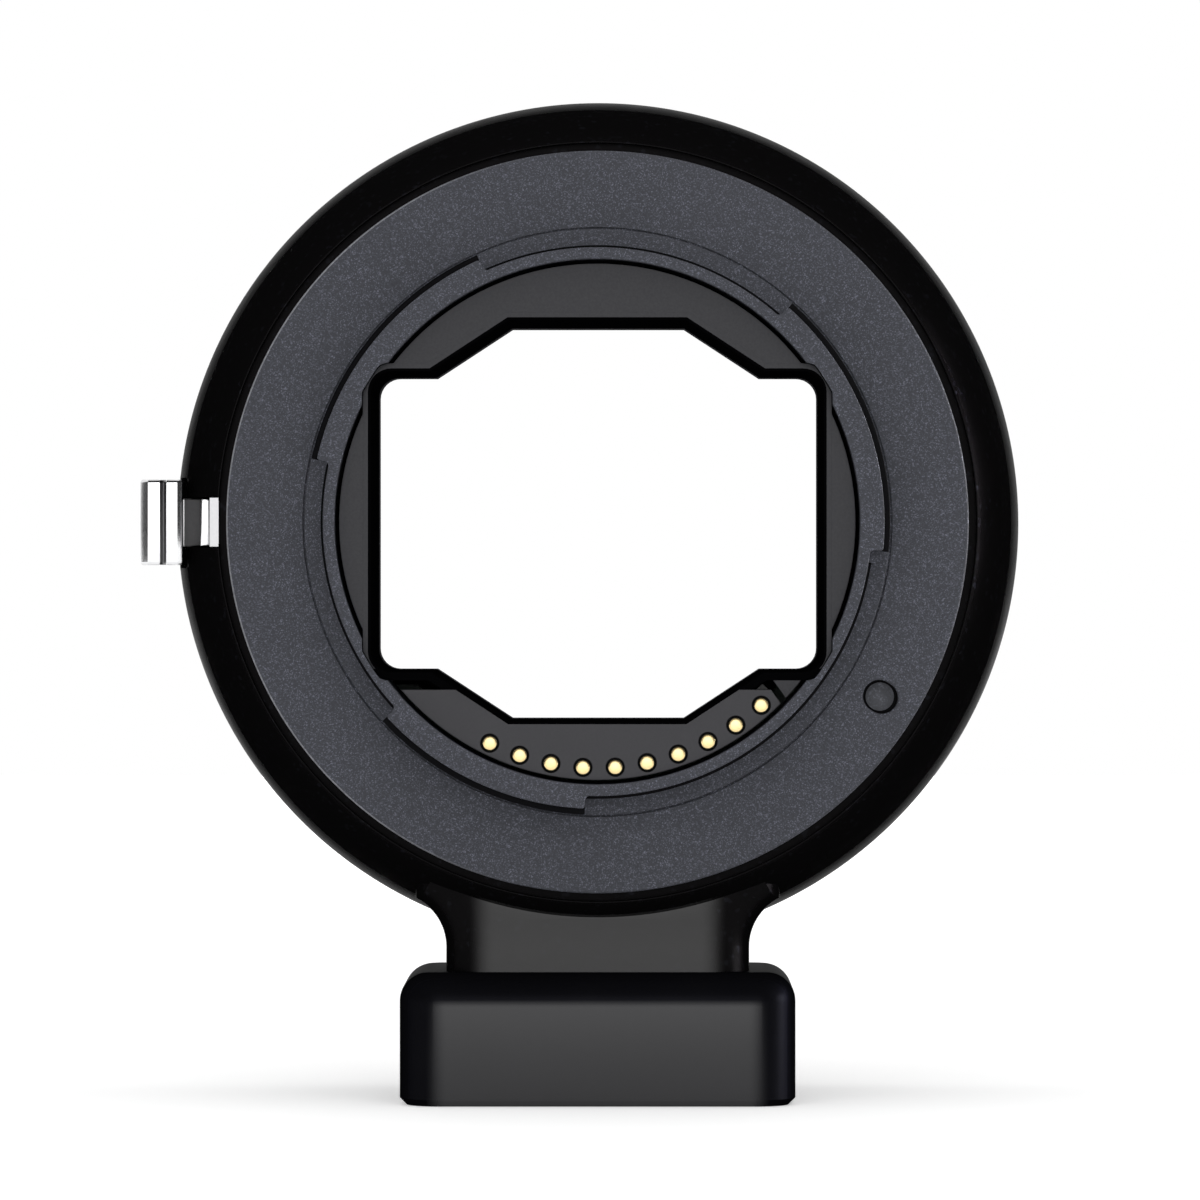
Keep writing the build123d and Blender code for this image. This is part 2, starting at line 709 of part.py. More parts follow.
def contact_pad():
    """One fixed contact: a round head on a stem that reaches the ribbon."""
    under_head = camera_block_face + pad_head
    return turned([(0, camera_block_face), (pad_radius, camera_block_face), (pad_radius, under_head),
                   (pad_stem_radius, under_head), (pad_stem_radius, camera_block_back),
                   (0, camera_block_back)])


def rear_ribbon():
    """The ribbon from the camera contacts to the board."""
    half_pitch = pad_pitch_angle / 2
    strip_face = sector(pad_circle - rear_strip_inner, pad_circle + rear_strip_outer,
                        pad_angles[0] - half_pitch, pad_angles[-1] + half_pitch)
    strip_face -= tunnel_outline(tunnel_wall + running_gap)
    strip = prism(strip_face, camera_block_back, camera_block_back + ribbon_thickness)
    turn_y = board_front + connector_depth / 2
    top = rear_ribbon_z + ribbon_thickness
    tail = [(camera_block_back, top), (turn_y + ribbon_thickness, top),
            (turn_y + ribbon_thickness, rear_connector_z), (turn_y, rear_connector_z),
            (turn_y, rear_ribbon_z), (camera_block_back, rear_ribbon_z)]
    return strip + side_prism(tail, ribbon_half_width)


def front_ribbon():
    """The ribbon from the lens contacts to the board."""
    half = lens_block_span / 2 - 1
    face = sector(lens_block_inner + front_strip_edge, lens_block_outer - front_strip_edge,
                  270 - half, 270 + half)
    pads = prism(face, lens_block_back - ribbon_thickness, lens_block_back)
    top = front_ribbon_z + ribbon_thickness
    socket = board_front + connector_depth
    tail = [(socket, top), (lens_block_back, top), (lens_block_back, front_ribbon_z),
            (socket, front_ribbon_z)]
    return pads + side_prism(tail, ribbon_half_width)


def circuit_board():
    """The crescent board under the tunnel."""
    face = sector(board_inner, board_outer, board_start, board_end)
    face -= tunnel_outline(tunnel_wall + board_tunnel_gap)
    board = prism(face, board_rear, board_front)
    for angle in board_screw_angles:
        board -= hole(board_screw_circle, angle, small_screw_shank + running_gap, board_rear - through,
                      board_front + through)
    return board


def board_components():
    """The two ribbon sockets, the controller, the regulator and a few small chips."""
    parts = []
    front_socket_z = front_ribbon_z + (ribbon_thickness + connector_height) / 2
    for z in (rear_connector_z, front_socket_z):
        parts.append(box((-connector_half_width, connector_half_width),
                         (board_front, board_front + connector_depth), (z - connector_height, z)))
    for angle, size in ((controller_angle, controller_size), (regulator_angle, regulator_size)):
        chip = Rot(0, 0, angle) * Pos(board_middle, 0) * Rectangle(size, size)
        parts.append(prism(chip, board_front, board_front + chip_height))
    for angle in small_chip_angles:
        place = Rot(0, 0, angle) * Pos(board_outer - small_chip_inset, 0)
        chip = place * Rectangle(small_chip_width, small_chip_length)
        parts.append(prism(chip, board_front, board_front + small_chip_height))
    return Compound(children=parts)


def lens_block():
    """The moulded block that guides the sprung lens contacts."""
    half = lens_block_span / 2
    flange_half = lens_block_flange_span / 2
    flange_rear = baffle_seat - lens_block_flange_thickness
    body = prism(sector(lens_block_inner, lens_block_outer, 270 - half, 270 + half),
                 lens_block_back, lens_block_front)
    flange_face = sector(lens_block_inner - lens_block_flange_edge, lens_block_outer + lens_block_flange_edge,
                         270 - flange_half, 270 + flange_half)
    body += prism(flange_face, flange_rear, baffle_seat)
    for angle in pin_angles:
        body -= hole(pin_circle, angle, pin_radius + pin_gap, lens_block_back - through,
                     lens_block_front + through)
        body -= hole(pin_circle, angle, pin_collar_radius + pin_gap, lens_block_back - through, pin_roof)
    for angle in ear_screws:
        body -= hole(pin_circle, angle, small_screw_shank + thread_gap, flange_rear - through,
                     baffle_seat + through)
    return body


def lens_pin():
    """One sprung contact: a round-nosed pin with a collar behind the block's roof."""
    tip = lens_block_front + pin_standout
    edge = pin_radius - pin_nose_flat
    return turned([(0, pin_spring_top), (pin_collar_radius, pin_spring_top), (pin_collar_radius, pin_roof),
                   (pin_radius, pin_roof), (pin_radius, tip - edge),
                   (pin_nose_flat + edge * pin_nose_curve, tip - edge * (1 - pin_nose_curve)),
                   (pin_nose_flat, tip), (0, tip)])


def lens_mount():
    """The lens-side bayonet ring."""
    body = turned([(lens_throat, lens_tube_end), (lens_tube_radius, lens_tube_end),
                   (lens_tube_radius, lens_seat),
                   (lens_flange_radius, lens_seat), (lens_flange_radius, flange_depth - plate_edge_break),
                   (lens_flange_radius - plate_edge_break, flange_depth), (lens_throat, flange_depth)])
    for angle in lens_lug_angles:
        half = lens_lug_span / 2
        lug = sector(lens_lug_bore, lens_throat + lens_lug_bite, angle - half, angle + half)
        tips = [v for v in lug.vertices() if math.hypot(v.X, v.Y) < lens_lug_bore + seat_gap]
        body += prism(fillet(tips, lens_lug_tip_fillet), flange_depth - lens_lug_thickness, flange_depth)
    cutter = flat_screw(lens_screw_head + seat_gap, lens_screw_head_height, lens_screw_shank + running_gap,
                        lens_screw_length + through)
    for angle in lens_screw_angles:
        body -= polar(lens_screw_circle, angle, flange_depth) * cutter
    body -= hole(lock_pin_circle, 180, lock_pin_radius + pin_gap, lens_seat - through,
                 flange_depth + through)
    body -= hole(lens_dot_circle, lens_dot_angle, dot_radius, flange_depth - dot_depth,
                 flange_depth + through)
    return body


def bayonet_spring():
    """The sheet ring with three arched leaves that draw a lens back on its flange."""
    body = prism(Circle(lens_tube_radius) - Circle(spring_inner), spring_seat, lens_tube_end)
    for angle in lens_lug_angles:
        body += leaf(angle)
        for side in (-1, 1):
            middle = angle + side * (leaf_span + leaf_tab) / 2
            tab = sector(leaf_inner, spring_inner + fuse, middle - leaf_tab / 2, middle + leaf_tab / 2)
            body += prism(tab, spring_seat, lens_tube_end)
    return body


def leaf(angle):
    """One arched leaf of the sheet ring, cut from a wider arch by its plan."""
    turn = math.radians(angle)
    radial = Vector(math.cos(turn), 0, math.sin(turn))
    across = Vector(-math.sin(turn), 0, math.cos(turn))
    half = leaf_outer * math.sin(math.radians(leaf_span / 2)) + through / 2
    chord = leaf_inner * math.cos(math.radians(leaf_span / 2)) - through
    plane = Plane(origin=radial * chord + Vector(0, spring_seat, 0), x_dir=across, z_dir=radial)
    sign = 1 if plane.y_dir.Y > 0 else -1
    low = ThreePointArc((-half, 0), (0, sign * leaf_rise), (half, 0))
    high = ThreePointArc((-half, sign * spring_sheet), (0, sign * (leaf_rise + spring_sheet)),
                         (half, sign * spring_sheet))
    ends = [Line(low @ 0, high @ 0), Line(low @ 1, high @ 1)]
    profile = make_face([low.edge(), high.edge(), ends[0].edge(), ends[1].edge()])
    arch = extrude(plane * profile, leaf_outer - chord + through)
    overlap = leaf_tab / 8
    plan = sector(leaf_inner, leaf_outer, angle - leaf_span / 2 - overlap, angle + leaf_span / 2 + overlap)
    return arch & prism(plan, spring_seat - through, lens_tube_end + leaf_rise + through)


def release_lever():
    """The polished lever: a grooved head outside, a neck, an arm in the wall and a foot for the pin."""
    groove_x = -(lever_outer + lever_inner) / 2 + lever_groove_shift
    outline = [(-lever_outer, lever_head_rear + lever_edge), (-lever_outer + lever_edge, lever_head_rear),
               (groove_x - lever_groove_half, lever_head_rear),
               (groove_x, lever_head_rear + lever_groove_depth),
               (groove_x + lever_groove_half, lever_head_rear),
               (-lever_inner - lever_edge, lever_head_rear),
               (-lever_inner, lever_head_rear + lever_edge), (-lever_inner, lever_head_front),
               (-lever_outer + lever_edge, lever_head_front), (-lever_outer, lever_head_front - lever_edge)]
    for step in range(grip_count):
        y = lever_head_front - grip_first - grip_pitch * step
        outline += [(-lever_outer, y + grip_half), (-lever_outer + grip_depth, y),
                    (-lever_outer, y - grip_half)]
    head_face = make_face(Polyline(*outline, close=True))
    head = extrude(Plane.XY.offset(-lever_height / 2) * head_face, lever_height)
    width = (-lever_neck_height / 2, lever_neck_height / 2)
    neck_bar = box((-lever_inner - 2 * fuse, -lever_arm_outer + fuse),
                   (lever_neck_rear, lever_neck_front), width)
    arm = box((-lever_arm_outer, -lever_arm_inner), (lever_arm_rear, lever_foot_front), width)
    ends = arm.edges().filter_by(Axis.Z).filter_by(lambda e: e.center().Y < lever_arm_rear + fuse)
    arm = fillet(ends, lever_arm_round)
    pin_foot = box((-lever_arm_outer + fuse, -lever_foot_inner), (lever_foot_rear, lever_foot_front),
                   (-lever_foot_half, lever_foot_half))
    lever = head + neck_bar + arm + pin_foot
    return lever - hole(lock_pin_circle, 180, lock_pin_radius, lever_foot_rear - through,
                        lever_foot_front + through)


def lock_pin():
    """The pin that a lens flange locks on."""
    tip = flange_depth + lock_pin_standout
    pin = turned([(0, lever_foot_rear), (lock_pin_radius, lever_foot_rear),
                  (lock_pin_radius, tip - lock_pin_edge),
                  (lock_pin_radius - lock_pin_edge, tip), (0, tip)])
    return polar(lock_pin_circle, 180) * pin


def lever_guide():
    """The strip that closes the channel behind the lever's arm."""
    strip = box((-guide_outer, -guide_inner), (guide_rear, lock_spring_seat),
                (-lever_neck_height / 2, lever_neck_height / 2))
    for y in guide_screw_places:
        reach = 2 * (guide_thickness + through)
        drill = Cylinder(guide_screw_shank + thread_gap, reach, rotation=(0, 90, 0))
        strip -= Pos(-guide_inner, y, 0) * drill
    return strip


def foot():
    """The tripod foot."""
    outline = RectangleRounded(2 * foot_half_width, foot_back - foot_front, foot_corner)
    middle = (foot_front + foot_back) / 2
    body = Pos(0, middle, foot_bottom) * extrude(outline, foot_height)
    top = body.edges().filter_by(lambda e: abs((e @ 0.5).Z - neck_bottom) < seat_gap)
    body = fillet(top, foot_top_fillet)
    bottom = body.edges().filter_by(lambda e: abs((e @ 0.5).Z - foot_bottom) < seat_gap)
    body = chamfer(bottom, foot_bottom_chamfer)
    under = foot_bottom - through
    body -= upright(foot_boss_radius + seat_gap, 0, bush_step, neck_bottom + through)
    body -= upright(tripod_bush_radius + seat_gap, 0, under, bush_step + fuse)
    for x in foot_screw_xs:
        body -= upright(foot_screw_shank + running_gap, x, under, neck_bottom + through)
        body -= upright(foot_screw_head + well_gap, x, under, foot_bottom + foot_screw_head_depth)
    return body


def tripod_bush():
    """The threaded bush in the foot, held down by the neck's boss."""
    low = foot_bottom + tripod_bush_recess
    profile = [(tripod_thread_radius, low), (tripod_bush_radius, low), (tripod_bush_radius, bush_step),
               (foot_boss_radius, bush_step), (foot_boss_radius, bush_top), (tripod_thread_radius, bush_top)]
    return Pos(0, foot_middle, 0) * Rot(90, 0, 0) * turned(profile)


def foot_screws():
    """The two screws that hold the foot to the neck, with sockets in their heads."""
    seat = foot_bottom + foot_screw_head_depth
    length = neck_bottom - seat + foot_screw_reach
    screw = Rot(-90, 0, 0) * pan_screw(foot_screw_head, foot_screw_head_height, foot_screw_shank, length)
    key = extrude(RegularPolygon(foot_key_radius, 6), foot_key_depth)
    screw -= Pos(0, 0, -foot_screw_head_height) * key
    return Compound(children=[Pos(x, foot_middle, seat) * screw for x in foot_screw_xs])


def guide_screws():
    """The two screws of the lever's strip, driven from inside the barrel."""
    screw = Rot(0, 0, -90) * pan_screw(guide_screw_head, guide_screw_head_height, guide_screw_shank,
                                       guide_screw_length)
    return Compound(children=[Pos(-guide_seat, y, 0) * screw for y in guide_screw_places])


def camera_dot():
    """The white index dot on the barrel."""
    reach = 2 * dot_radius
    return dot_plug() & disc(barrel_radius - dot_inset, camera_dot_y - reach, camera_dot_y + reach)


def lens_dot():
    """The red index dot on the lens ring."""
    return hole(lens_dot_circle, lens_dot_angle, dot_radius, flange_depth - dot_depth,
                flange_depth - dot_inset)


def lock_spring():
    """The coil that pushes the lever and its pin towards the lens."""
    coil = spring(lock_pin_radius - lock_spring_wire / 2, lock_spring_wire, lock_spring_turns,
                  lock_spring_seat, lever_foot_rear)
    return polar(lock_pin_circle, 180) * coil


camera_screw = pan_screw(camera_screw_head, camera_screw_head_height, camera_screw_shank,
                         camera_screw_length)
lens_screw = flat_screw(lens_screw_head, lens_screw_head_height, lens_screw_shank, lens_screw_length)
board_screw = pan_screw(small_screw_head, small_screw_head_height, small_screw_shank, board_screw_length)

parts = {
    "barrel": barrel(),
    "rear_mount": rear_mount(),
    "rear_mount_screws": placed(camera_screw, camera_screw_circle, camera_screw_angles, rear_wall_front),
    "baffle": baffle(),
    "baffle_screws": placed(small_screw(), post_circle, post_angles, baffle_front),
    "rear_contact_block": rear_contact_block(),
    "rear_flex": rear_ribbon(),
    "circuit_board": circuit_board(),
    "board_components": board_components(),
    "board_screws": placed(board_screw, board_screw_circle, board_screw_angles, board_front),
    "front_flex": front_ribbon(),
    "front_contact_block": lens_block(),
    "front_block_screws": placed(small_screw(), pin_circle, ear_screws, baffle_front),
    "lens_mount": lens_mount(),
    "bayonet_spring": bayonet_spring(),
    "lens_mount_screws": placed(lens_screw, lens_screw_circle, lens_screw_angles, flange_depth),
    "release_lever": release_lever(),
    "lock_pin": lock_pin(),
    "lock_pin_spring": lock_spring(),
    "lever_guide": lever_guide(),
    "lever_guide_screws": guide_screws(),
    "foot": foot(),
    "foot_screws": foot_screws(),
    "tripod_bush": tripod_bush(),
    "lens_index_dot": lens_dot(),
    "camera_index_dot": camera_dot(),
}

for number, angle in enumerate(pad_angles, start=1):
    parts[f"rear_contact_{number:02d}"] = polar(pad_circle, angle) * contact_pad()

pin_spring = spring(pin_radius - pin_spring_wire / 2, pin_spring_wire, pin_spring_turns, lens_block_back,
                    pin_spring_top)
for number, angle in enumerate(pin_angles, start=1):
    parts[f"lens_pin_{number}"] = polar(pin_circle, angle) * lens_pin()
    parts[f"pin_spring_{number}"] = polar(pin_circle, angle) * pin_spring

os.makedirs("parts", exist_ok=True)
for name, solid in parts.items():
    export_step(solid, f"parts/{name}.step")
    print(name, round(solid.volume, 3))
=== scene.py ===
# %% [markdown]
# # A lens mount adapter
# This script dresses the packed CAD model of a lens mount adapter, seen from its camera side and
# standing on its tripod foot. The optical axis is Y: the camera flange lies at Y = 0 and faces -Y,
# the lens flange faces +Y, and Z is up. Sizes are written in millimetres, as on a drawing, and
# turned to metres in one place.

# %% Load the frame
import math

import bmesh
import bpy
from mathutils import Matrix, Vector


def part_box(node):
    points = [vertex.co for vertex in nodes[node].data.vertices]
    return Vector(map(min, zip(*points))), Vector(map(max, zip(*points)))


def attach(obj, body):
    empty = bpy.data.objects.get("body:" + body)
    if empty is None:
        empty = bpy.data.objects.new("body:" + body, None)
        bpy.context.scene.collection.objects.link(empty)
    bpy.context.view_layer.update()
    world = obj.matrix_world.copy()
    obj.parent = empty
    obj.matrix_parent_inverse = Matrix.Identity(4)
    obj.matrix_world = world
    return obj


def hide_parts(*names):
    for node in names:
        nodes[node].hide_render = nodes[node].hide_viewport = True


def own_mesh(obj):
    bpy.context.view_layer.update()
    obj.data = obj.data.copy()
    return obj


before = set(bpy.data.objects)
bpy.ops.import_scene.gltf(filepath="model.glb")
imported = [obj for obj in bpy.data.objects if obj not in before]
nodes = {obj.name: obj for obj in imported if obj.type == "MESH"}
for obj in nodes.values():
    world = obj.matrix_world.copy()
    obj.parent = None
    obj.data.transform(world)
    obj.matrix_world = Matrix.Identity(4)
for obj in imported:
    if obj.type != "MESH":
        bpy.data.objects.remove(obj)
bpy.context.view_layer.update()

# %% [markdown]
# ## Drawing in millimetres
# Nearly every part of this object is turned on a lathe or milled from plate, so two helpers make
# most of it. One sweeps a rounded profile round the axis, the other pulls a flat outline to a
# thickness with softened edges. Both close their meshes, so that parts can be cut with booleans.

# %% Rounded outlines
MM = 0.001
SMOOTH_LIMIT = math.radians(32)


def rounded(points, steps=6):
    """A closed outline whose points may carry a corner radius as their third number."""
    outline = []
    for index, point in enumerate(points):
        corner = Vector(point[:2])
        radius = point[2] if len(point) > 2 else 0.0
        if radius <= 0:
            outline.append((corner.x, corner.y))
            continue
        back = (Vector(points[index - 1][:2]) - corner).normalized()
        ahead = (Vector(points[(index + 1) % len(points)][:2]) - corner).normalized()
        half = back.angle(ahead) / 2
        centre = corner + (back + ahead).normalized() * radius / math.sin(half)
        start = corner + back * radius / math.tan(half) - centre
        end = corner + ahead * radius / math.tan(half) - centre
        sweep = start.angle_signed(end)
        for step in range(steps + 1):
            arm = start.copy()
            arm.rotate(Matrix.Rotation(-sweep * step / steps, 2))
            outline.append((centre.x + arm.x, centre.y + arm.y))
    return outline


def arc(radius, start, end, steps):
    """Points round the axis, from one angle to another in degrees."""
    turns = [math.radians(start + (end - start) * step / steps) for step in range(steps + 1)]
    return [(radius * math.cos(turn), radius * math.sin(turn)) for turn in turns]


def at(radius, angle, *more):
    """A point of an outline by radius and angle, with its corner radius if it has one."""
    return (radius * math.cos(math.radians(angle)), radius * math.sin(math.radians(angle)), *more)


print("a square with one soft corner has", len(rounded([(0, 0), (4, 0), (4, 4, 1), (0, 4)])), "points")

# %% Skinned and turned pieces


def finish_mesh(mesh):
    """Merge what touches, turn the faces outwards and shade round surfaces smoothly."""
    shape = bmesh.new()
    shape.from_mesh(mesh)
    bmesh.ops.remove_doubles(shape, verts=shape.verts, dist=1e-7)
    bmesh.ops.recalc_face_normals(shape, faces=shape.faces)
    shape.to_mesh(mesh)
    shape.free()
    mesh.shade_smooth()
    mesh.set_sharp_from_angle(angle=SMOOTH_LIMIT)
    return mesh


def piece_of(name, mesh):
    """An object at the origin that shows a mesh."""
    piece = bpy.data.objects.new(name, mesh)
    bpy.context.scene.collection.objects.link(piece)
    return piece


def skin(name, rings, closed=False):
    """A mesh through rings of equal count in millimetres, capped unless the last meets the first."""
    shape = bmesh.new()
    rows = [[shape.verts.new((x * MM, y * MM, z * MM)) for x, y, z in ring] for ring in rings]
    for one, two in zip(rows, rows[1:] + rows[:1] if closed else rows[1:]):
        for index in range(len(one)):
            after = (index + 1) % len(one)
            shape.faces.new((one[index], one[after], two[after], two[index]))
    if not closed:
        shape.faces.new(rows[0][::-1])
        shape.faces.new(rows[-1])
    mesh = bpy.data.meshes.new(name)
    shape.to_mesh(mesh)
    shape.free()
    return piece_of(name, finish_mesh(mesh))


def lathe(name, profile, segments=288, start=0.0, end=360.0):
    """A closed profile of radius and Y, turned about the Y axis."""
    whole = end - start >= 360.0
    turns = [math.radians(start + (end - start) * step / segments)
             for step in range(segments if whole else segments + 1)]
    columns = [[(r * math.cos(turn), y, r * math.sin(turn)) for r, y in profile] for turn in turns]
    return skin(name, columns, whole)


print("edges sharper than", round(math.degrees(SMOOTH_LIMIT)), "degrees stay sharp")

# %% Flat pieces
FACING = {
    "Y": Matrix(((1, 0, 0, 0), (0, 0, -1, 0), (0, 1, 0, 0), (0, 0, 0, 1))),
    "Z": Matrix.Identity(4),
}


def plate(name, loops, low, high, edge=0.0, axis="Y", edge_steps=3):
    """A flat piece from closed outlines, the second and later ones holes, with rounded edges."""
    curve = bpy.data.curves.new(name, "CURVE")
    curve.dimensions = "2D"
    curve.fill_mode = "BOTH"
    for loop in loops:
        spline = curve.splines.new("POLY")
        spline.points.add(len(loop) - 1)
        for point, (u, v) in zip(spline.points, loop):
            point.co = (u, v, 0, 1)
        spline.use_cyclic_u = True
    curve.extrude = (high - low) / 2 - edge
    if edge > 0:
        curve.bevel_depth = edge
        curve.bevel_resolution = edge_steps
        curve.offset = -edge
    drawn = piece_of(name + "_curve", curve)
    mesh = bpy.data.meshes.new_from_object(drawn.evaluated_get(bpy.context.evaluated_depsgraph_get()))
    bpy.data.objects.remove(drawn)
    shift = Vector((0, (low + high) / 2, 0)) if axis == "Y" else Vector((0, 0, (low + high) / 2))
    mesh.transform(Matrix.Scale(MM, 4) @ Matrix.Translation(shift) @ FACING[axis])
    mesh.name = name
    return piece_of(name, finish_mesh(mesh))


def block(name, x_range, y_range, z_range, edge=0.0):
    """A milled block with softened edges along X and Y and its corners rounded."""
    (x0, x1), (y0, y1), (z0, z1) = x_range, y_range, z_range
    return plate(name, [rounded([(x0, y0, edge), (x1, y0, edge), (x1, y1, edge), (x0, y1, edge)], 3)],
                 z0, z1, edge, axis="Z")


print("flat pieces can face", list(FACING))

# %% Cutting and joining


def combine(piece, tools, how):
    """Cut the tools out of a piece, or join them to it, and leave one clean mesh."""
    for tool in tools:
        change = piece.modifiers.new(how, "BOOLEAN")
        change.object = tool
        change.operation = how
        change.solver = "EXACT"
    mesh = bpy.data.meshes.new_from_object(piece.evaluated_get(bpy.context.evaluated_depsgraph_get()))
    piece.modifiers.clear()
    mesh.name = piece.name
    old = piece.data
    piece.data = finish_mesh(mesh)
    bpy.data.meshes.remove(old)
    for tool in tools:
        bpy.data.objects.remove(tool)
    return piece


def cut(piece, *tools):
    return combine(piece, tools, "DIFFERENCE")


def join(piece, *tools):
    return combine(piece, tools, "UNION")


print("pieces can be cut and joined")

# %% [markdown]
# ## Writing nodes as Python
# A wire stands for the output of a node. Adding or multiplying wires adds Math nodes, so a mask, a
# grain or a place on a circle reads as a formula. Every other node comes from one method of the
# graph, which sets the node up first and then feeds its inputs with numbers, colours or wires.

# %% Wires and graphs


class Wire:
    """The output of a node, which takes part in arithmetic."""

    def __init__(self, graph, socket):
        self.graph = graph
        self.socket = socket

    def __add__(self, other):
        return self.graph.maths("ADD", self, other)

    def __radd__(self, other):
        return self.graph.maths("ADD", other, self)

    def __sub__(self, other):
        return self.graph.maths("SUBTRACT", self, other)

    def __rsub__(self, other):
        return self.graph.maths("SUBTRACT", other, self)

    def __mul__(self, other):
        return self.graph.maths("MULTIPLY", self, other)

    def __rmul__(self, other):
        return self.graph.maths("MULTIPLY", other, self)

    def __pow__(self, other):
        return self.graph.maths("POWER", self, other)

    def __gt__(self, other):
        return self.graph.maths("GREATER_THAN", self, other)

    def __lt__(self, other):
        return self.graph.maths("LESS_THAN", self, other)


class Graph:
    """A node tree whose nodes come back as wires."""

    def __init__(self, tree):
        self.tree = tree
        tree.nodes.clear()

    def add(self, kind, settings, values, output=0):
        """A node with its settings made first, then its inputs; its chosen output comes back."""
        node = self.tree.nodes.new(kind)
        for title, value in settings.items():
            setattr(node, title, value)
        for key, value in values.items():
            self.feed(node.inputs[key], value)
        return Wire(self, node.outputs[output]) if node.outputs else None

    def feed(self, socket, value):
        if isinstance(value, Wire):
            self.tree.links.new(value.socket, socket)
        elif socket.type == "RGBA":
            socket.default_value = (*value, 1.0)
        else:
            socket.default_value = value

    def maths(self, operation, first, second=0.0):
        return self.add("ShaderNodeMath", {"operation": operation}, {0: first, 1: second})


print("wires and graphs are ready")

# %% [markdown]
# ## Copies round the axis
# Contacts, screws and the holes under them all stand on circles round the optical axis. A
# Geometry Nodes tree places them: it makes points by their number, sets an instance of the drawn
# part on each, turned to face outwards, then realizes them and gives them their material. The
# sizes are inputs of the tree, so one tree serves every circle.

# %% The tree for copies on a circle


def ring_tree():
    tree = bpy.data.node_groups.new("copies_on_a_circle", "GeometryNodeTree")
    tree.interface.new_socket("Geometry", in_out="OUTPUT", socket_type="NodeSocketGeometry")
    for title, kind in (("Part", "Object"), ("Count", "Int"), ("Radius", "Float"),
                        ("First angle", "Float"), ("Step angle", "Float"), ("Material", "Material")):
        tree.interface.new_socket(title, in_out="INPUT", socket_type="NodeSocket" + kind)
    graph = Graph(tree)

    def given(title):
        return graph.add("NodeGroupInput", {}, {}, title)

    angle = graph.add("GeometryNodeInputIndex", {}, {}) * given("Step angle") + given("First angle")
    along = graph.maths("COSINE", angle) * given("Radius")
    up = graph.maths("SINE", angle) * given("Radius")
    place = graph.add("ShaderNodeCombineXYZ", {}, {"X": along, "Z": up})
    points = graph.add("GeometryNodePoints", {}, {"Count": given("Count"), "Position": place})
    outwards = graph.add("ShaderNodeCombineXYZ", {}, {"Y": angle * -1.0})
    turn = graph.add("FunctionNodeEulerToRotation", {}, {0: outwards})
    part = graph.add("GeometryNodeObjectInfo", {}, {"Object": given("Part")}, "Geometry")
    copies = graph.add("GeometryNodeInstanceOnPoints", {},
                       {"Points": points, "Instance": part, "Rotation": turn})
    real = graph.add("GeometryNodeRealizeInstances", {}, {"Geometry": copies})
    painted = graph.add("GeometryNodeSetMaterial", {}, {"Geometry": real, "Material": given("Material")})
    graph.add("NodeGroupOutput", {}, {0: painted})
    return tree


RING = ring_tree()
print("tree inputs:", [item.name for item in RING.interface.items_tree if item.in_out == "INPUT"])


def on_circle(name, part, radius, first, step=0.0, count=1, material=None):
    """Copies of a part on a circle, as one plain mesh that takes the part's place."""
    carrier = piece_of(name, bpy.data.meshes.new(name))
    change = carrier.modifiers.new("copies", "NODES")
    change.node_group = RING
    values = {"Part": part, "Count": count, "Radius": radius * MM, "First angle": math.radians(first),
              "Step angle": math.radians(step), "Material": material}
    for item in RING.interface.items_tree:
        if item.in_out == "INPUT" and values[item.name] is not None:
            change[item.identifier] = values[item.name]
    mesh = bpy.data.meshes.new_from_object(carrier.evaluated_get(bpy.context.evaluated_depsgraph_get()))
    carrier.modifiers.clear()
    carrier.data = finish_mesh(mesh)
    bpy.data.objects.remove(part)
    return carrier


# %% [markdown]
# ## A paint for each finish
# A paint is a graph with a shader at its end. It reads places on the object in millimetres, since
# a finished piece's object lies at the origin, so a mask can name the same sizes as the shape.

# %% Paints


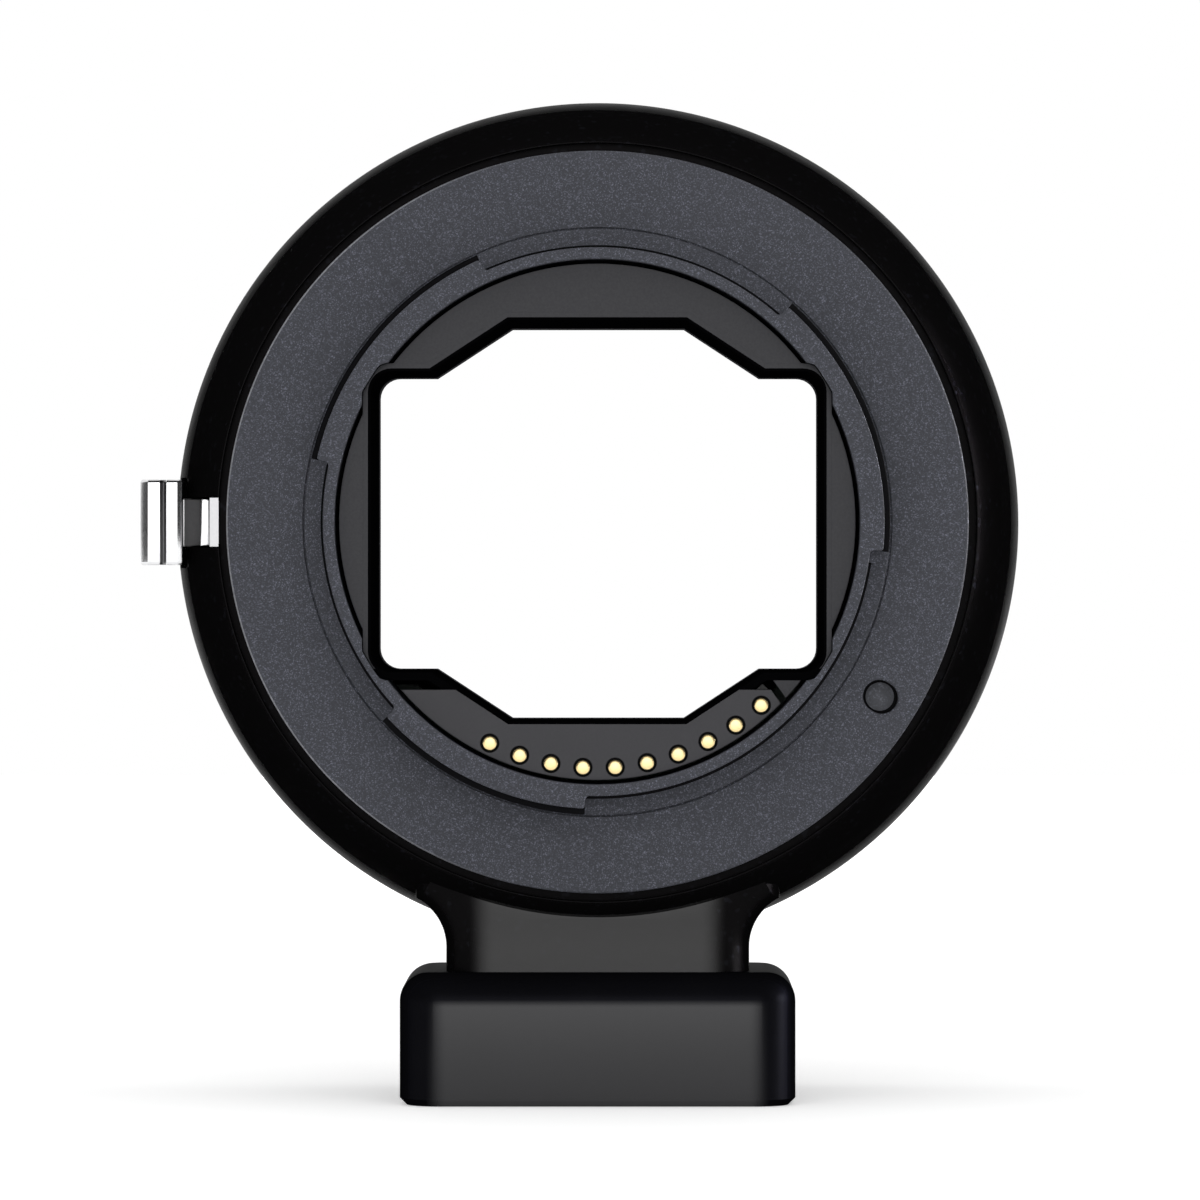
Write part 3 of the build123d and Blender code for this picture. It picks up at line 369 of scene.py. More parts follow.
class Paint(Graph):
    """A procedural finish: its material, its object coordinates and its shader."""

    def __init__(self, name, **constants):
        self.material = bpy.data.materials.new(name)
        self.material.use_nodes = True
        super().__init__(self.material.node_tree)
        self.shader = self.tree.nodes.new("ShaderNodeBsdfPrincipled")
        self.add("ShaderNodeOutputMaterial", {}, {"Surface": Wire(self, self.shader.outputs[0])})
        self.place = self.add("ShaderNodeTexCoord", {}, {}, "Object")
        for title, value in constants.items():
            self.set(title.replace("_", " "), value)

    def set(self, title, value):
        self.feed(self.shader.inputs[title], value)

    def noise(self, size, detail=2.0, seed=0.0):
        """Noise from 0 to 1 whose patches are about the given size in millimetres."""
        return self.add("ShaderNodeTexNoise", {"noise_dimensions": "4D"},
                        {"Vector": self.place, "Scale": 1 / (size * MM), "Detail": detail, "W": seed})

    def grains(self, size):
        """Little cells of one random value each."""
        cells = self.add("ShaderNodeTexVoronoi", {"feature": "F1"},
                         {"Vector": self.place, "Scale": 1 / (size * MM)}, "Color")
        return self.add("ShaderNodeSeparateColor", {}, {"Color": cells}, "Red")

    def axis(self, name):
        """One coordinate in millimetres."""
        return self.add("ShaderNodeSeparateXYZ", {}, {"Vector": self.place}, name) * (1 / MM)

    def radius(self, x=0.0, z=0.0):
        """The distance in millimetres from an axis along Y, the optical axis unless told."""
        flat = self.add("ShaderNodeVectorMath", {"operation": "MULTIPLY"}, {0: self.place, 1: (1, 0, 1)})
        return self.add("ShaderNodeVectorMath", {"operation": "DISTANCE"},
                        {0: flat, 1: (x * MM, 0, z * MM)}, "Value") * (1 / MM)

    def angle(self):
        """The angle round the optical axis in degrees, from -180 to 180."""
        return self.maths("ARCTAN2", self.axis("Z"), self.axis("X")) * math.degrees(1.0)

    def blend(self, factor, first, second):
        return self.add("ShaderNodeMix", {"data_type": "RGBA"},
                        {"Factor": factor, "A": first, "B": second}, 2)

    def ramp(self, value, low, high):
        """0 at the first value and 1 at the second, with soft ends."""
        return self.add("ShaderNodeMapRange", {"interpolation_type": "SMOOTHSTEP"},
                        {"Value": value, "From Min": low, "From Max": high})

    def bump(self, height, depth, strength):
        """Relief of the given depth in millimetres."""
        self.set("Normal", self.add("ShaderNodeBump", {}, {"Height": height, "Distance": depth * MM,
                                                           "Strength": strength}))


print("a paint offers:", [name for name in vars(Paint) if not name.startswith("_")])

# %% [markdown]
# ## The dark plate
# The camera-side plate is bead-blasted and anodised dark grey: it sparkles with grains of about a
# tenth of a millimetre, a little bluish. Shade is painted near-black into the corner at the tube's foot
# and under the lugs, and round the edge of the lock hole's floor; the hole's floor is painted lighter,
# and a highlight is painted along the plate's outer edge on the left. The masks are written with the
# plate's own sizes, which its shape uses again below.

# %% The plate's sizes and its finish
TUBE_OUTER = 21.45
SPIGOT_RADIUS = 23.05
SPIGOT_REAR = -0.5
PLATE_RADIUS = 29.25
LUGS = ((-5.9, 48.3), (114.3, 167.5), (222.8, 267.5))
LOCK_HOLE = (26.2, -31.7)
LOCK_HOLE_END = 1.275
HALF_TURN = 180.0


def satin_coat():
    """Blasted grey with painted shade in its corners and at the lock hole's edge,
    and painted light on the hole's floor and on the rim's left side.
    """
    grain_size, corner_width, rim_width = 0.08, 0.33, 0.13
    paint = Paint("mount_dark", Specular_IOR_Level=0.06)
    radius, depth, turn = paint.radius(), paint.axis("Y"), paint.angle()
    sparkle = paint.grains(grain_size) ** 6.0
    haze = paint.noise(0.3, 3.0)
    cloud = paint.noise(9.0, 2.0, seed=3.0)
    shade = paint.blend(haze * 0.7 + cloud * 0.3, (0.047, 0.049, 0.057), (0.070, 0.072, 0.083))
    blasted = paint.blend(sparkle * 0.55, shade, (0.21, 0.22, 0.275))
    turns = [(a, b) if b < HALF_TURN else (a - 2 * HALF_TURN, b - 2 * HALF_TURN) for a, b in LUGS]
    under_lug = sum((turn > start) * (turn < end) for start, end in turns)
    corner_radius = TUBE_OUTER + corner_width
    lug_shadow = SPIGOT_RADIUS + 0.01 - corner_radius
    on_spigot = (depth > SPIGOT_REAR - 0.1) * (depth < SPIGOT_REAR + 0.2)
    # Painted shade: near-black in the corner at the tube's foot and, within the lugs' angles, out to the
    # spigot's step, where the lugs shade the face.
    corner = on_spigot * (radius < corner_radius + under_lug * lug_shadow)
    from_hole = paint.radius(*at(*LOCK_HOLE))
    # Painted shade: a near-black ring on the lock hole's wall and round the edge of its floor.
    hole_edge = (from_hole > LOCK_HOLE_END - 0.155) * (from_hole < LOCK_HOLE_END + 0.175) * (depth > 0.15)
    # Painted light: the lock hole's floor is painted lighter, as if lit in spite of its depth.
    painted_hole_floor_light = (from_hole < LOCK_HOLE_END - 0.145) * (depth > 1.0)
    with_painted_floor_light = paint.blend(painted_hole_floor_light * 0.5, blasted, (0.15, 0.155, 0.17))
    with_painted_shade = paint.blend(corner + hole_edge, with_painted_floor_light, (0.003, 0.003, 0.004))
    # Painted highlight: the plate's outer edge is painted bright on the left, where the edge catches the
    # light.
    highlight_side = paint.ramp(paint.axis("X"), -4.0, -22.0)
    painted_rim_highlight = (radius > PLATE_RADIUS - rim_width) * (depth < 0.4) * haze * highlight_side * 0.7
    paint.set("Base Color", paint.blend(painted_rim_highlight, with_painted_shade, (0.50, 0.51, 0.54)))
    paint.set("Roughness", 0.55 - sparkle * 0.16)
    paint.set("Metallic", sparkle * 0.5)
    paint.bump(paint.grains(grain_size) + haze * 0.5, 0.005, 0.5)
    return paint.material


MOUNT_DARK = satin_coat()
print("plate finish made, lock hole at", [round(value, 3) for value in at(*LOCK_HOLE)])

# %% [markdown]
# ## The black enamels
# Barrel and foot are enamelled black. An ordinary gloss mirrors the white surround at a grazing
# angle and would draw a pale line along their outlines, which the real ones don't have. So both are
# half metal with a very dark tint, which takes that line away, and a clear coat is added only on the
# broad faces: on the flat of the neck, along the front of the cylinder, and on the flat faces and
# sides of the foot. It fades towards the rounded edges.

# %% Barrel and foot finishes
NECK_FLAT = (105.0, 66.0)  # squares of the distances from the middle where the coat starts and is full
FOOT_FLAT = (185.0, 140.0)


def black_enamel():
    """Black whose clear coat lies on the neck's flat and grows along the cylinder."""
    paint = Paint("barrel_black", Metallic=0.5, Specular_IOR_Level=0.0, Specular_Tint=(0.2, 0.2, 0.2),
                  Coat_Roughness=0.16)
    across, height, radius = paint.axis("X"), paint.axis("Z"), paint.radius()
    speck = paint.grains(0.3) ** 26.0
    peel = paint.noise(2.4, 1.0)
    paint.set("Base Color", paint.blend(speck, (0.0056, 0.0053, 0.0056), (0.010, 0.010, 0.012)))
    paint.set("Roughness", 0.22 + peel * 0.1)
    flat = paint.ramp(across * across, *NECK_FLAT) * (height < -28.0) * (radius > 31.05)
    along_cylinder = paint.ramp(paint.axis("Y"), 11.0, 24.0)
    paint.set("Coat Weight", flat * 0.9 + along_cylinder * 0.4)
    paint.bump(peel, 0.002, 0.2)
    return paint.material


def foot_black():
    """Black whose clear coat lies on the flat faces and, thinner, on the sides."""
    paint = Paint("foot_black", Metallic=0.5, Specular_IOR_Level=0.0, Specular_Tint=(0.08, 0.08, 0.08),
                  Coat_Roughness=0.16)
    across, height = paint.axis("X"), paint.axis("Z")
    fine = paint.noise(0.12, 2.0)
    cloud = paint.noise(6.0, 3.0, seed=2.0)
    paint.set("Base Color", paint.blend(cloud, (0.0050, 0.0050, 0.0064), (0.0074, 0.0074, 0.0092)))
    paint.set("Roughness", 0.3 + fine * 0.1)
    flat = paint.ramp(across * across, *FOOT_FLAT)
    side = paint.ramp(paint.axis("Y"), 6.5, 9.0) * (1.0 - flat) * 0.5
    below_rounding = paint.ramp(height, -37.6, -38.3)
    paint.set("Coat Weight", (flat + side) * below_rounding * 0.86)
    paint.bump(fine, 0.0015, 0.3)
    return paint.material


BARREL_BLACK = black_enamel()
FOOT_BLACK = foot_black()
print("the coats start", [round(math.sqrt(square[0]), 1) for square in (NECK_FLAT, FOOT_FLAT)], "mm aside")

# %% [markdown]
# ## The plastics
# The moulded parts are plain matt plastic. Their faces towards the camera read as grey; the inside of
# the light tunnel and the wells of the pads are painted near-black a little behind their front faces,
# as painted shade.

# %% Baffle and contact block finishes
BAFFLE_REAR = -3.5
BLOCK_FACE = -3.8
FACE_SKIN = 0.08
UNLIT = (0.0015, 0.0015, 0.0018)


def tunnel_plastic():
    """Grey where the rear plate faces the camera, with painted shade, near-black, inside the light tunnel."""
    paint = Paint("baffle_black", Specular_IOR_Level=0.0)
    grain = paint.noise(0.18, 3.0)
    depth = paint.axis("Y")
    # Painted shade: the tunnel's inside, behind the rear face, is painted near-black.
    inside = (depth > BAFFLE_REAR + FACE_SKIN) * (depth < 16.0)
    grey = paint.blend(grain, (0.050, 0.050, 0.054), (0.070, 0.070, 0.074))
    paint.set("Base Color", paint.blend(inside, grey, UNLIT))
    paint.set("Roughness", 0.65 + grain * 0.2)
    paint.bump(grain, 0.006, 0.5)
    return paint.material


def moulding():
    """The contact block's plastic, with painted shade, near-black, inside the wells of the pads."""
    paint = Paint("contact_moulding", Specular_IOR_Level=0.2)
    grain = paint.noise(0.15, 3.0, seed=1.0)
    cloud = paint.noise(3.0, 2.0)
    grey = paint.blend(grain * 0.6 + cloud * 0.4, (0.044, 0.044, 0.048), (0.064, 0.063, 0.068))
    # Painted shade: everything behind the block's face, the wells of the pads included, is painted
    # near-black.
    paint.set("Base Color", paint.blend(paint.axis("Y") > BLOCK_FACE + FACE_SKIN, grey, UNLIT))
    paint.set("Roughness", 0.5 + grain * 0.2)
    paint.bump(grain, 0.005, 0.5)
    return paint.material


BAFFLE_BLACK = tunnel_plastic()
MOULDING = moulding()
print("plastics turn black", FACE_SKIN, "mm behind their faces")

# %% [markdown]
# ## Metals
# The lever is polished and chromed; the rear faces of its groove, inner facet and neck are rougher and
# painted dark as shade and a dull reflection. The lens ring is turned brass under satin chrome, whose
# fine turning rings follow the radius, and screws and springs are plain steel. Each has a fine grain in
# its roughness. The contacts are hard gold.

# %% Chrome, gold and steel
HEAD_INNER = 32.9
GROOVE = (-34.66, -34.42, -34.16)


def metal(name, low, high, roughness, grain_size, spread=0.12, depth=0.002):
    """A metal whose colour and roughness vary a little in grains of a given size."""
    paint = Paint(name, Metallic=1.0)
    grain = paint.noise(grain_size, 3.0)
    paint.set("Base Color", paint.blend(grain, low, high))
    paint.set("Roughness", roughness - spread / 2 + grain * spread)
    paint.bump(grain, depth, 0.4)
    return paint.material


def lever_chrome():
    """Polished chrome whose groove, inner facet and neck are rougher and painted dark, as shade and
    reflection.
    """
    paint = Paint("bright_chrome", Metallic=1.0)
    across, depth = paint.axis("X"), paint.axis("Y")
    grain = paint.noise(0.4, 3.0)
    groove = (across > GROOVE[0] + 0.02) * (across < GROOVE[2] - 0.02)
    inner = (across > -HEAD_INNER + 0.02) * (across < -31.46)
    rear_face = depth < 6.4
    # Painted shade and reflection: the groove, inner facet and neck's rear faces are painted dark, and made
    # rougher.
    satin_and_shade = (groove * 0.75 + inner) * rear_face
    bright = paint.blend(grain, (0.74, 0.74, 0.75), (0.84, 0.84, 0.85))
    dark = paint.blend(grain, (0.046, 0.046, 0.048), (0.066, 0.065, 0.066))
    paint.set("Base Color", paint.blend(satin_and_shade, bright, dark))
    paint.set("Roughness", 0.1 + grain * 0.08 + satin_and_shade * 0.3)
    paint.bump(grain, 0.001, 0.4)
    return paint.material


def turned_ring():
    """Satin chrome with turning rings round the optical axis."""
    paint = Paint("lens_ring", Metallic=1.0)
    rings = paint.add("ShaderNodeTexNoise", {"noise_dimensions": "1D"},
                      {"W": paint.radius(), "Scale": 14.0, "Detail": 3.0})
    haze = paint.noise(2.5, 3.0)
    paint.set("Base Color", paint.blend(haze, (0.42, 0.42, 0.43), (0.53, 0.52, 0.51)))
    paint.set("Roughness", 0.2 + rings * 0.18)
    paint.bump(rings, 0.006, 0.5)
    return paint.material


CHROME = metal("polished_pin", (0.70, 0.70, 0.71), (0.82, 0.82, 0.83), 0.14, 0.4, 0.08, 0.001)
LEVER_CHROME = lever_chrome()
GOLD = metal("contact_gold", (0.86, 0.66, 0.30), (0.98, 0.80, 0.44), 0.3, 0.2)
SPRING_STEEL = metal("spring_steel", (0.40, 0.40, 0.41), (0.52, 0.52, 0.52), 0.28, 0.3)
GUIDE_STEEL = metal("guide_steel", (0.42, 0.42, 0.43), (0.55, 0.55, 0.56), 0.34, 0.25)
SCREW_STEEL = metal("screw_steel", (0.30, 0.30, 0.31), (0.44, 0.44, 0.45), 0.3, 0.2)
BUSH_STEEL = metal("bush_steel", (0.48, 0.46, 0.43), (0.60, 0.58, 0.54), 0.3, 0.3)
LENS_RING = turned_ring()
print("metals made")

# %% [markdown]
# ## Board, ribbons and index dots
# These are small or hidden. Each still gets what the real one shows: a woven glass board under
# green-black lacquer, amber film ribbons with their printed copper strips, and filled paint dots.

# %% Small finishes


def plain(name, low, high, roughness, grain_size, specular=0.4):
    """A painted or moulded surface with a fine grain."""
    paint = Paint(name, Specular_IOR_Level=specular)
    grain = paint.noise(grain_size, 3.0)
    paint.set("Base Color", paint.blend(grain, low, high))
    paint.set("Roughness", roughness + grain * 0.15)
    paint.bump(grain, 0.004, 0.4)
    return paint.material


def film_ribbon():
    """Amber film with copper strips along its length, painted near-black as shade behind the contacts."""
    paint = Paint("ribbon", Specular_IOR_Level=0.4)
    across = paint.axis("X")
    strips = paint.maths("PINGPONG", across, 0.5) > 0.25
    amber = paint.blend(strips, (0.22, 0.09, 0.015), (0.36, 0.15, 0.03))
    # Painted shade: the ribbon is painted near-black where it lies behind the contacts, in the dark pocket.
    paint.set("Base Color", paint.blend(paint.axis("Y") < 4.0, amber, (0.002, 0.002, 0.002)))
    paint.set("Roughness", 0.35 - strips * 0.08)
    paint.bump(strips, 0.02, 0.6)
    return paint.material


BOARD = plain("board", (0.006, 0.022, 0.012), (0.012, 0.040, 0.020), 0.4, 0.3)
CHIPS = plain("chips", (0.010, 0.010, 0.011), (0.020, 0.020, 0.021), 0.5, 0.2)
RIBBON = film_ribbon()
INDEX_RED = plain("index_red", (0.42, 0.012, 0.010), (0.52, 0.020, 0.016), 0.3, 0.4)
INDEX_WHITE = plain("index_white", (0.66, 0.66, 0.64), (0.74, 0.74, 0.72), 0.35, 0.4)
print("small finishes made")

# %% [markdown]
# ## The barrel
# One casting, turned outside and in, carries everything. Its shoulder is a long curve from the
# camera plate to the cylinder, which is why the lit strip beside the plate fades to black. The neck
# grows out of it below. It is made as on a lathe: a solid profile, the neck joined on, then the
# hollows, the lever's pocket and the screw holes cut away.

# %% Barrel sizes and profile
BARREL_RADIUS = 34.0
RECESS_RADIUS = 29.95
BARREL_REAR = 0.9
SHOULDER_START = 0.08
SHOULDER_END = 16.4
BARREL_FRONT = 25.6
RIM_BEVEL = 0.8


def bezier(points, steps):
    """Points on a cubic from its first control point up to its last."""
    path = []
    for step in range(steps + 1):
        t = step / steps
        weights = ((1 - t) ** 3, 3 * t * (1 - t) ** 2, 3 * t * t * (1 - t), t ** 3)
        path.append(tuple(sum(w * p[k] for w, p in zip(weights, points)) for k in (0, 1)))
    return path


shoulder = bezier([(RECESS_RADIUS + SHOULDER_START, BARREL_REAR), (RECESS_RADIUS + 1.65, BARREL_REAR + 1.7),
                   (BARREL_RADIUS, BARREL_REAR + 6.6), (BARREL_RADIUS, SHOULDER_END)], 28)
core = [(0, BARREL_FRONT), (0, BARREL_REAR)]
rim = rounded([(BARREL_RADIUS, BARREL_FRONT - RIM_BEVEL, 0.25),
               (BARREL_RADIUS - RIM_BEVEL, BARREL_FRONT, 0.25), *core])[:-2]
barrel = lathe("barrel_shell", shoulder + rim + core)
print("barrel blank faces:", len(barrel.data.polygons))

# %% The neck
NECK_HALF = 12.05
NECK_FRONT = 2.7
NECK_BACK = 16.8
NECK_BOTTOM = -35.6
FLARE = 4.3
FLARE_RADIUS = 33.2


def neck():
    """The neck's front outline with its two flares, pulled through and rounded at its edges."""
    centre_x = NECK_HALF + FLARE
    centre_z = -math.sqrt((FLARE_RADIUS + FLARE) ** 2 - centre_x ** 2)
    touch_angle = math.degrees(math.atan2(-centre_z, -centre_x))
    flare = [(centre_x + x, centre_z + z) for x, z in arc(FLARE, touch_angle, 180.0, 14)]
    low = NECK_BOTTOM - 5
    right = [(flare[0][0], -22.0)] + flare + [(NECK_HALF, low)]
    left = [(-x, z) for x, z in reversed(right)]
    shape = plate("neck", [right + left], NECK_FRONT, NECK_BACK, 3.0, edge_steps=9)
    below = block("below", (-30, 30), (-5, 30), (low - 5, NECK_BOTTOM))
    return cut(shape, below)


join(barrel, neck())
print("barrel faces with its neck:", len(barrel.data.polygons))

# %% The hollows
REAR_WALL_FRONT = 4.5
CAVITY_RADIUS = 27.8
SPRING_STEP = (28.45, 21.6)
RING_STEP = 32.55
LENS_SEAT = 24.2
CAMERA_SEAT = 2.5
WALL_OPENING = 22.0
BEYOND = 30.0

hollow = lathe("hollow", [(0, REAR_WALL_FRONT), (CAVITY_RADIUS, REAR_WALL_FRONT),
                          (CAVITY_RADIUS, SPRING_STEP[1]), SPRING_STEP, (SPRING_STEP[0], LENS_SEAT),
                          (RING_STEP, LENS_SEAT), (RING_STEP, BEYOND), (0, BEYOND)])
rear_hollow = lathe("rear_hollow", [(0, -2.0), (RECESS_RADIUS, -2.0), (RECESS_RADIUS, CAMERA_SEAT),
                                    (WALL_OPENING, CAMERA_SEAT), (WALL_OPENING, 6.0), (0, 6.0)])
cut(barrel, hollow, rear_hollow)
print("hollowed barrel faces:", len(barrel.data.polygons))

# %% The lever's pocket
CHANNEL_OUTER = 31.6
CHANNEL_INNER = 29.9
CHANNEL_SIDES = (-2.025, 2.025)
SPRING_SEAT_Y = 13.2
CHAMBER_INNER = 28.3
CHAMBER_FRONT = 19.3
WINDOW_DEPTHS = (2.5, 8.9)
POCKET_FLOOR = 32.7
POCKET_FRONT = 11.3
POCKET_SIDES = (-3.625, 3.625)
OVERLAP = 0.01

channel = block("channel", (-CHANNEL_OUTER, -CHANNEL_INNER), (-1, SPRING_SEAT_Y), CHANNEL_SIDES)
chamber = block("chamber", (-CHANNEL_OUTER, -CHAMBER_INNER), (SPRING_SEAT_Y - OVERLAP, CHAMBER_FRONT),
                CHANNEL_SIDES)
window = block("window", (-36, -CHANNEL_OUTER + 0.1), WINDOW_DEPTHS, CHANNEL_SIDES)
pocket = block("pocket", (-37, -POCKET_FLOOR), (-1, POCKET_FRONT), POCKET_SIDES, 0.3)
cut(barrel, channel, chamber, window, pocket)
print("barrel faces with the lever's pocket:", len(barrel.data.polygons))

# %% Screw holes and the lock pin's hole
# Circles are written as radius, first angle, step between copies and their number.
LOCK_PIN_HOLE = (29.75, 180)
LOCK_PIN_BORE = 0.94
PLATE_SCREWS = (25.6, 75, 90, 4)
RING_SCREWS = (30.4, 45, 90, 4)
FOOT_SCREWS = (-9, 9)
FOOT_MIDDLE = 9.75


def bore(name, radius, low, high):
    """A round cutter along Y."""
    return lathe(name, [(0, low), (radius, low), (radius, high), (0, high)], 40)


def bore_up(name, x, y, radius, low, high):
    """A round cutter along Z at a place under the foot."""
    circle = [(x + u, y + v) for u, v in arc(radius, 0, 360, 48)[:-1]]
    return plate(name, [circle], low, high, axis="Z")


cut(barrel, on_circle("plate_screw_holes", bore("hole", 1.1, 1.5, 5.5), *PLATE_SCREWS),
    on_circle("ring_screw_holes", bore("hole", 1.02, 20.0, 25), *RING_SCREWS),
    on_circle("lock_pin_hole", bore("hole", LOCK_PIN_BORE, 18.0, 25), *LOCK_PIN_HOLE))
for side in FOOT_SCREWS:
    cut(barrel, bore_up("foot_screw_hole", side, FOOT_MIDDLE, 1.27, -37, -30.6))
barrel.data.materials.append(BARREL_BLACK)
print("barrel faces:", len(barrel.data.polygons))

# %% [markdown]
# ## Posts inside the barrel
# Four posts stand inside the barrel for the light baffle, and two short ones for the board. They
# are cast with it, so they are joined to the same mesh. The lens contacts and the tunnel's corners
# leave no room for even steps, so each circle keeps its own list of angles.

# %% Posts
POST_CIRCLE = 24.6
POST_ANGLES = (40, 140, 210, 330)
BOARD_CIRCLE = 24.5
BOARD_ANGLES = (238, 302)
POST_HALF = 2.2
POST_FOOT = REAR_WALL_FRONT - 0.3
POST_FRONT = 18.5
IN_WALL = 28.4

web = [(POST_CIRCLE + x, z) for x, z in arc(POST_HALF, 90, 270, 16)]
web += [(IN_WALL, -POST_HALF), (IN_WALL, POST_HALF)]
for angle in POST_ANGLES:
    join(barrel, on_circle("barrel_post", plate("post", [web], POST_FOOT, POST_FRONT), 0.0, angle))
for angle in BOARD_ANGLES:
    join(barrel, on_circle("board_post", bore("stub", 1.8, POST_FOOT, 6.0), BOARD_CIRCLE, angle))
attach(barrel, "body")
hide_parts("barrel")
print("barrel with posts:", len(barrel.data.polygons))

# %% [markdown]
# ## The camera-side mount
# A turned plate with a thin raised spigot and a bayonet tube. Three lugs reach out from the tube,
# steep at their ends and hollow at their roots, where the cutter left its radius. The plate is
# turned first, the lugs and the stop are joined, then the notches for the tunnel's corners and the
# shallow lock hole are cut.

# %% Plate and tube
TUBE_BORE = 20.55
TUBE_REAR = -4.2
TUBE_FRONT = 4.3
SLEEVE_RADIUS = 21.95

mount = lathe("camera_mount", rounded([
    (TUBE_BORE, TUBE_REAR, 0.1), (TUBE_OUTER, TUBE_REAR, 0.1), (TUBE_OUTER, SPIGOT_REAR, 0.12),
    (SPIGOT_RADIUS, SPIGOT_REAR, 0.1), (SPIGOT_RADIUS, 0.2), (SPIGOT_RADIUS + 0.15, 0.2),
    (SPIGOT_RADIUS + 0.18, 0), (PLATE_RADIUS, 0, 0.22), (PLATE_RADIUS, CAMERA_SEAT),
    (SLEEVE_RADIUS, CAMERA_SEAT), (SLEEVE_RADIUS, TUBE_FRONT), (TUBE_BORE, TUBE_FRONT)], 4), 360)
print("mount blank faces:", len(mount.data.polygons))

# %% Lugs and stop
LUG_RADIUS = 22.45
LUG_FRONT = -2.7
LUG_FOOT = TUBE_OUTER - 0.03
LUG_TIP, LUG_ROOT = 0.2, 0.45
TIP_TURN, ROOT_TURN = 1.2, 1.8
STOP_START, STOP_END = -8.5, -4.9


def lug(start, end):
    """A bayonet lug with rounded tips and hollow roots."""
    crown = arc(LUG_RADIUS, start + TIP_TURN, end - TIP_TURN, 60)
    inner = arc(TUBE_BORE + 0.35, end + ROOT_TURN, start - ROOT_TURN, 60)
    outline = rounded([at(LUG_FOOT, start - ROOT_TURN), at(LUG_FOOT, start, LUG_ROOT),
                       at(LUG_RADIUS, start, LUG_TIP), *crown, at(LUG_RADIUS, end, LUG_TIP),
                       at(LUG_FOOT, end, LUG_ROOT), at(LUG_FOOT, end + ROOT_TURN), *inner], 5)
    return plate("lug", [outline], TUBE_REAR, LUG_FRONT, 0.08, edge_steps=2)


join(mount, *[lug(start, end) for start, end in LUGS])
stop_outline = arc(TUBE_OUTER + 0.6, STOP_START, STOP_END, 6) + arc(TUBE_BORE + 0.3, STOP_END, STOP_START, 6)
join(mount, plate("stop", [stop_outline], -3.3, -0.4))
print("mount with lugs:", len(mount.data.polygons))

# %% The tunnel's outline
TUNNEL = [(6.96, 15.8), (13.07, 11.8), (17.75, 11.8), (17.75, -11.8), (13.07, -11.8), (6.96, -15.8),
          (-6.96, -15.8), (-13.07, -11.8), (-17.75, -11.8), (-17.75, 11.8), (-13.07, 11.8), (-6.96, 15.8)]
TUNNEL_CORNER = 1.65
TUNNEL_WALL = 0.6
NOTCH_WALL = 0.65
POINT_SPACING = 0.5
INSIDE_TUBE = 20.95


def grown(outline, by):
    """A clockwise outline with each side moved outwards."""
    corners = [Vector(point) for point in outline]
    moved = []
    for index, corner in enumerate(corners):
        before = (corner - corners[index - 1]).normalized()
        after = (corners[(index + 1) % len(corners)] - corner).normalized()
        out_before, out_after = Vector((-before.y, before.x)), Vector((-after.y, after.x))
        mitre = (out_before + out_after) / (1 + out_before.dot(out_after))
        moved.append(tuple(corner + mitre * by))
    return moved


def both_sides(points):
    """Points on the right and their mirror images, as one row."""
    return points + [(-x, z) for x, z in reversed(points)]


def tunnel(by, reach=99.0):
    """The light opening's outline, grown by a wall and kept inside a radius."""
    points = [(x, z, TUNNEL_CORNER + by) if abs(x) > 17 else (x, z) for x, z in grown(TUNNEL, by)]
    drawn = rounded(points, 8)
    fine = []
    for index, (x, z) in enumerate(drawn):
        next_x, next_z = drawn[(index + 1) % len(drawn)]
        parts = max(1, int(math.hypot(next_x - x, next_z - z) / POINT_SPACING))
        for step in range(parts):
            u, v = x + (next_x - x) * step / parts, z + (next_z - z) * step / parts
            inward = min(1.0, reach / math.hypot(u, v))
            fine.append((u * inward, v * inward))
    return fine


print("tunnel outline points:", len(tunnel(TUNNEL_WALL, INSIDE_TUBE)))

# %% Notches, lock hole and screw holes
SLOT_SHIFT = 0.125
SLOT_EDGE = 1.07

cut(mount, plate("notches", [tunnel(NOTCH_WALL, 21.0)], -5.5, 5.5))
slot = [(x + SLOT_SHIFT, z) for x, z in arc(LOCK_HOLE_END, -90, 90, 20)]
slot += [(x - SLOT_SHIFT, z) for x, z in arc(LOCK_HOLE_END, 90, 270, 20)]
slot_edge = [(x * SLOT_EDGE, z * SLOT_EDGE) for x, z in slot]
cut(mount, on_circle("lock_hole", plate("slot", [slot], -1.0, 1.6), *LOCK_HOLE),
    on_circle("lock_hole_edge", plate("slot_edge", [slot_edge], -1.0, 0.09), *LOCK_HOLE))
cut(mount, on_circle("plate_screw_bores", bore("hole", 1.02, 0.8, 3.5), *PLATE_SCREWS))
mount.data.materials.append(MOUNT_DARK)
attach(mount, "body")
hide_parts("rear_mount")
print("camera mount faces:", len(mount.data.polygons))

# %% [markdown]
# ## The light baffle
# A moulded tunnel whose stepped eight-sided opening masks stray light. Its rear plate fills the
# bayonet tube, and its front plate carries the lens contacts. The tunnel's outline is drawn once
# and grown for the wall, the notches and the clearances.

# %% Baffle
BAFFLE_FRONT = 19.7
SHELF = -12.4
RIM_RADIUS = 20.2
FRONT_PLATE_RADIUS = 27.6

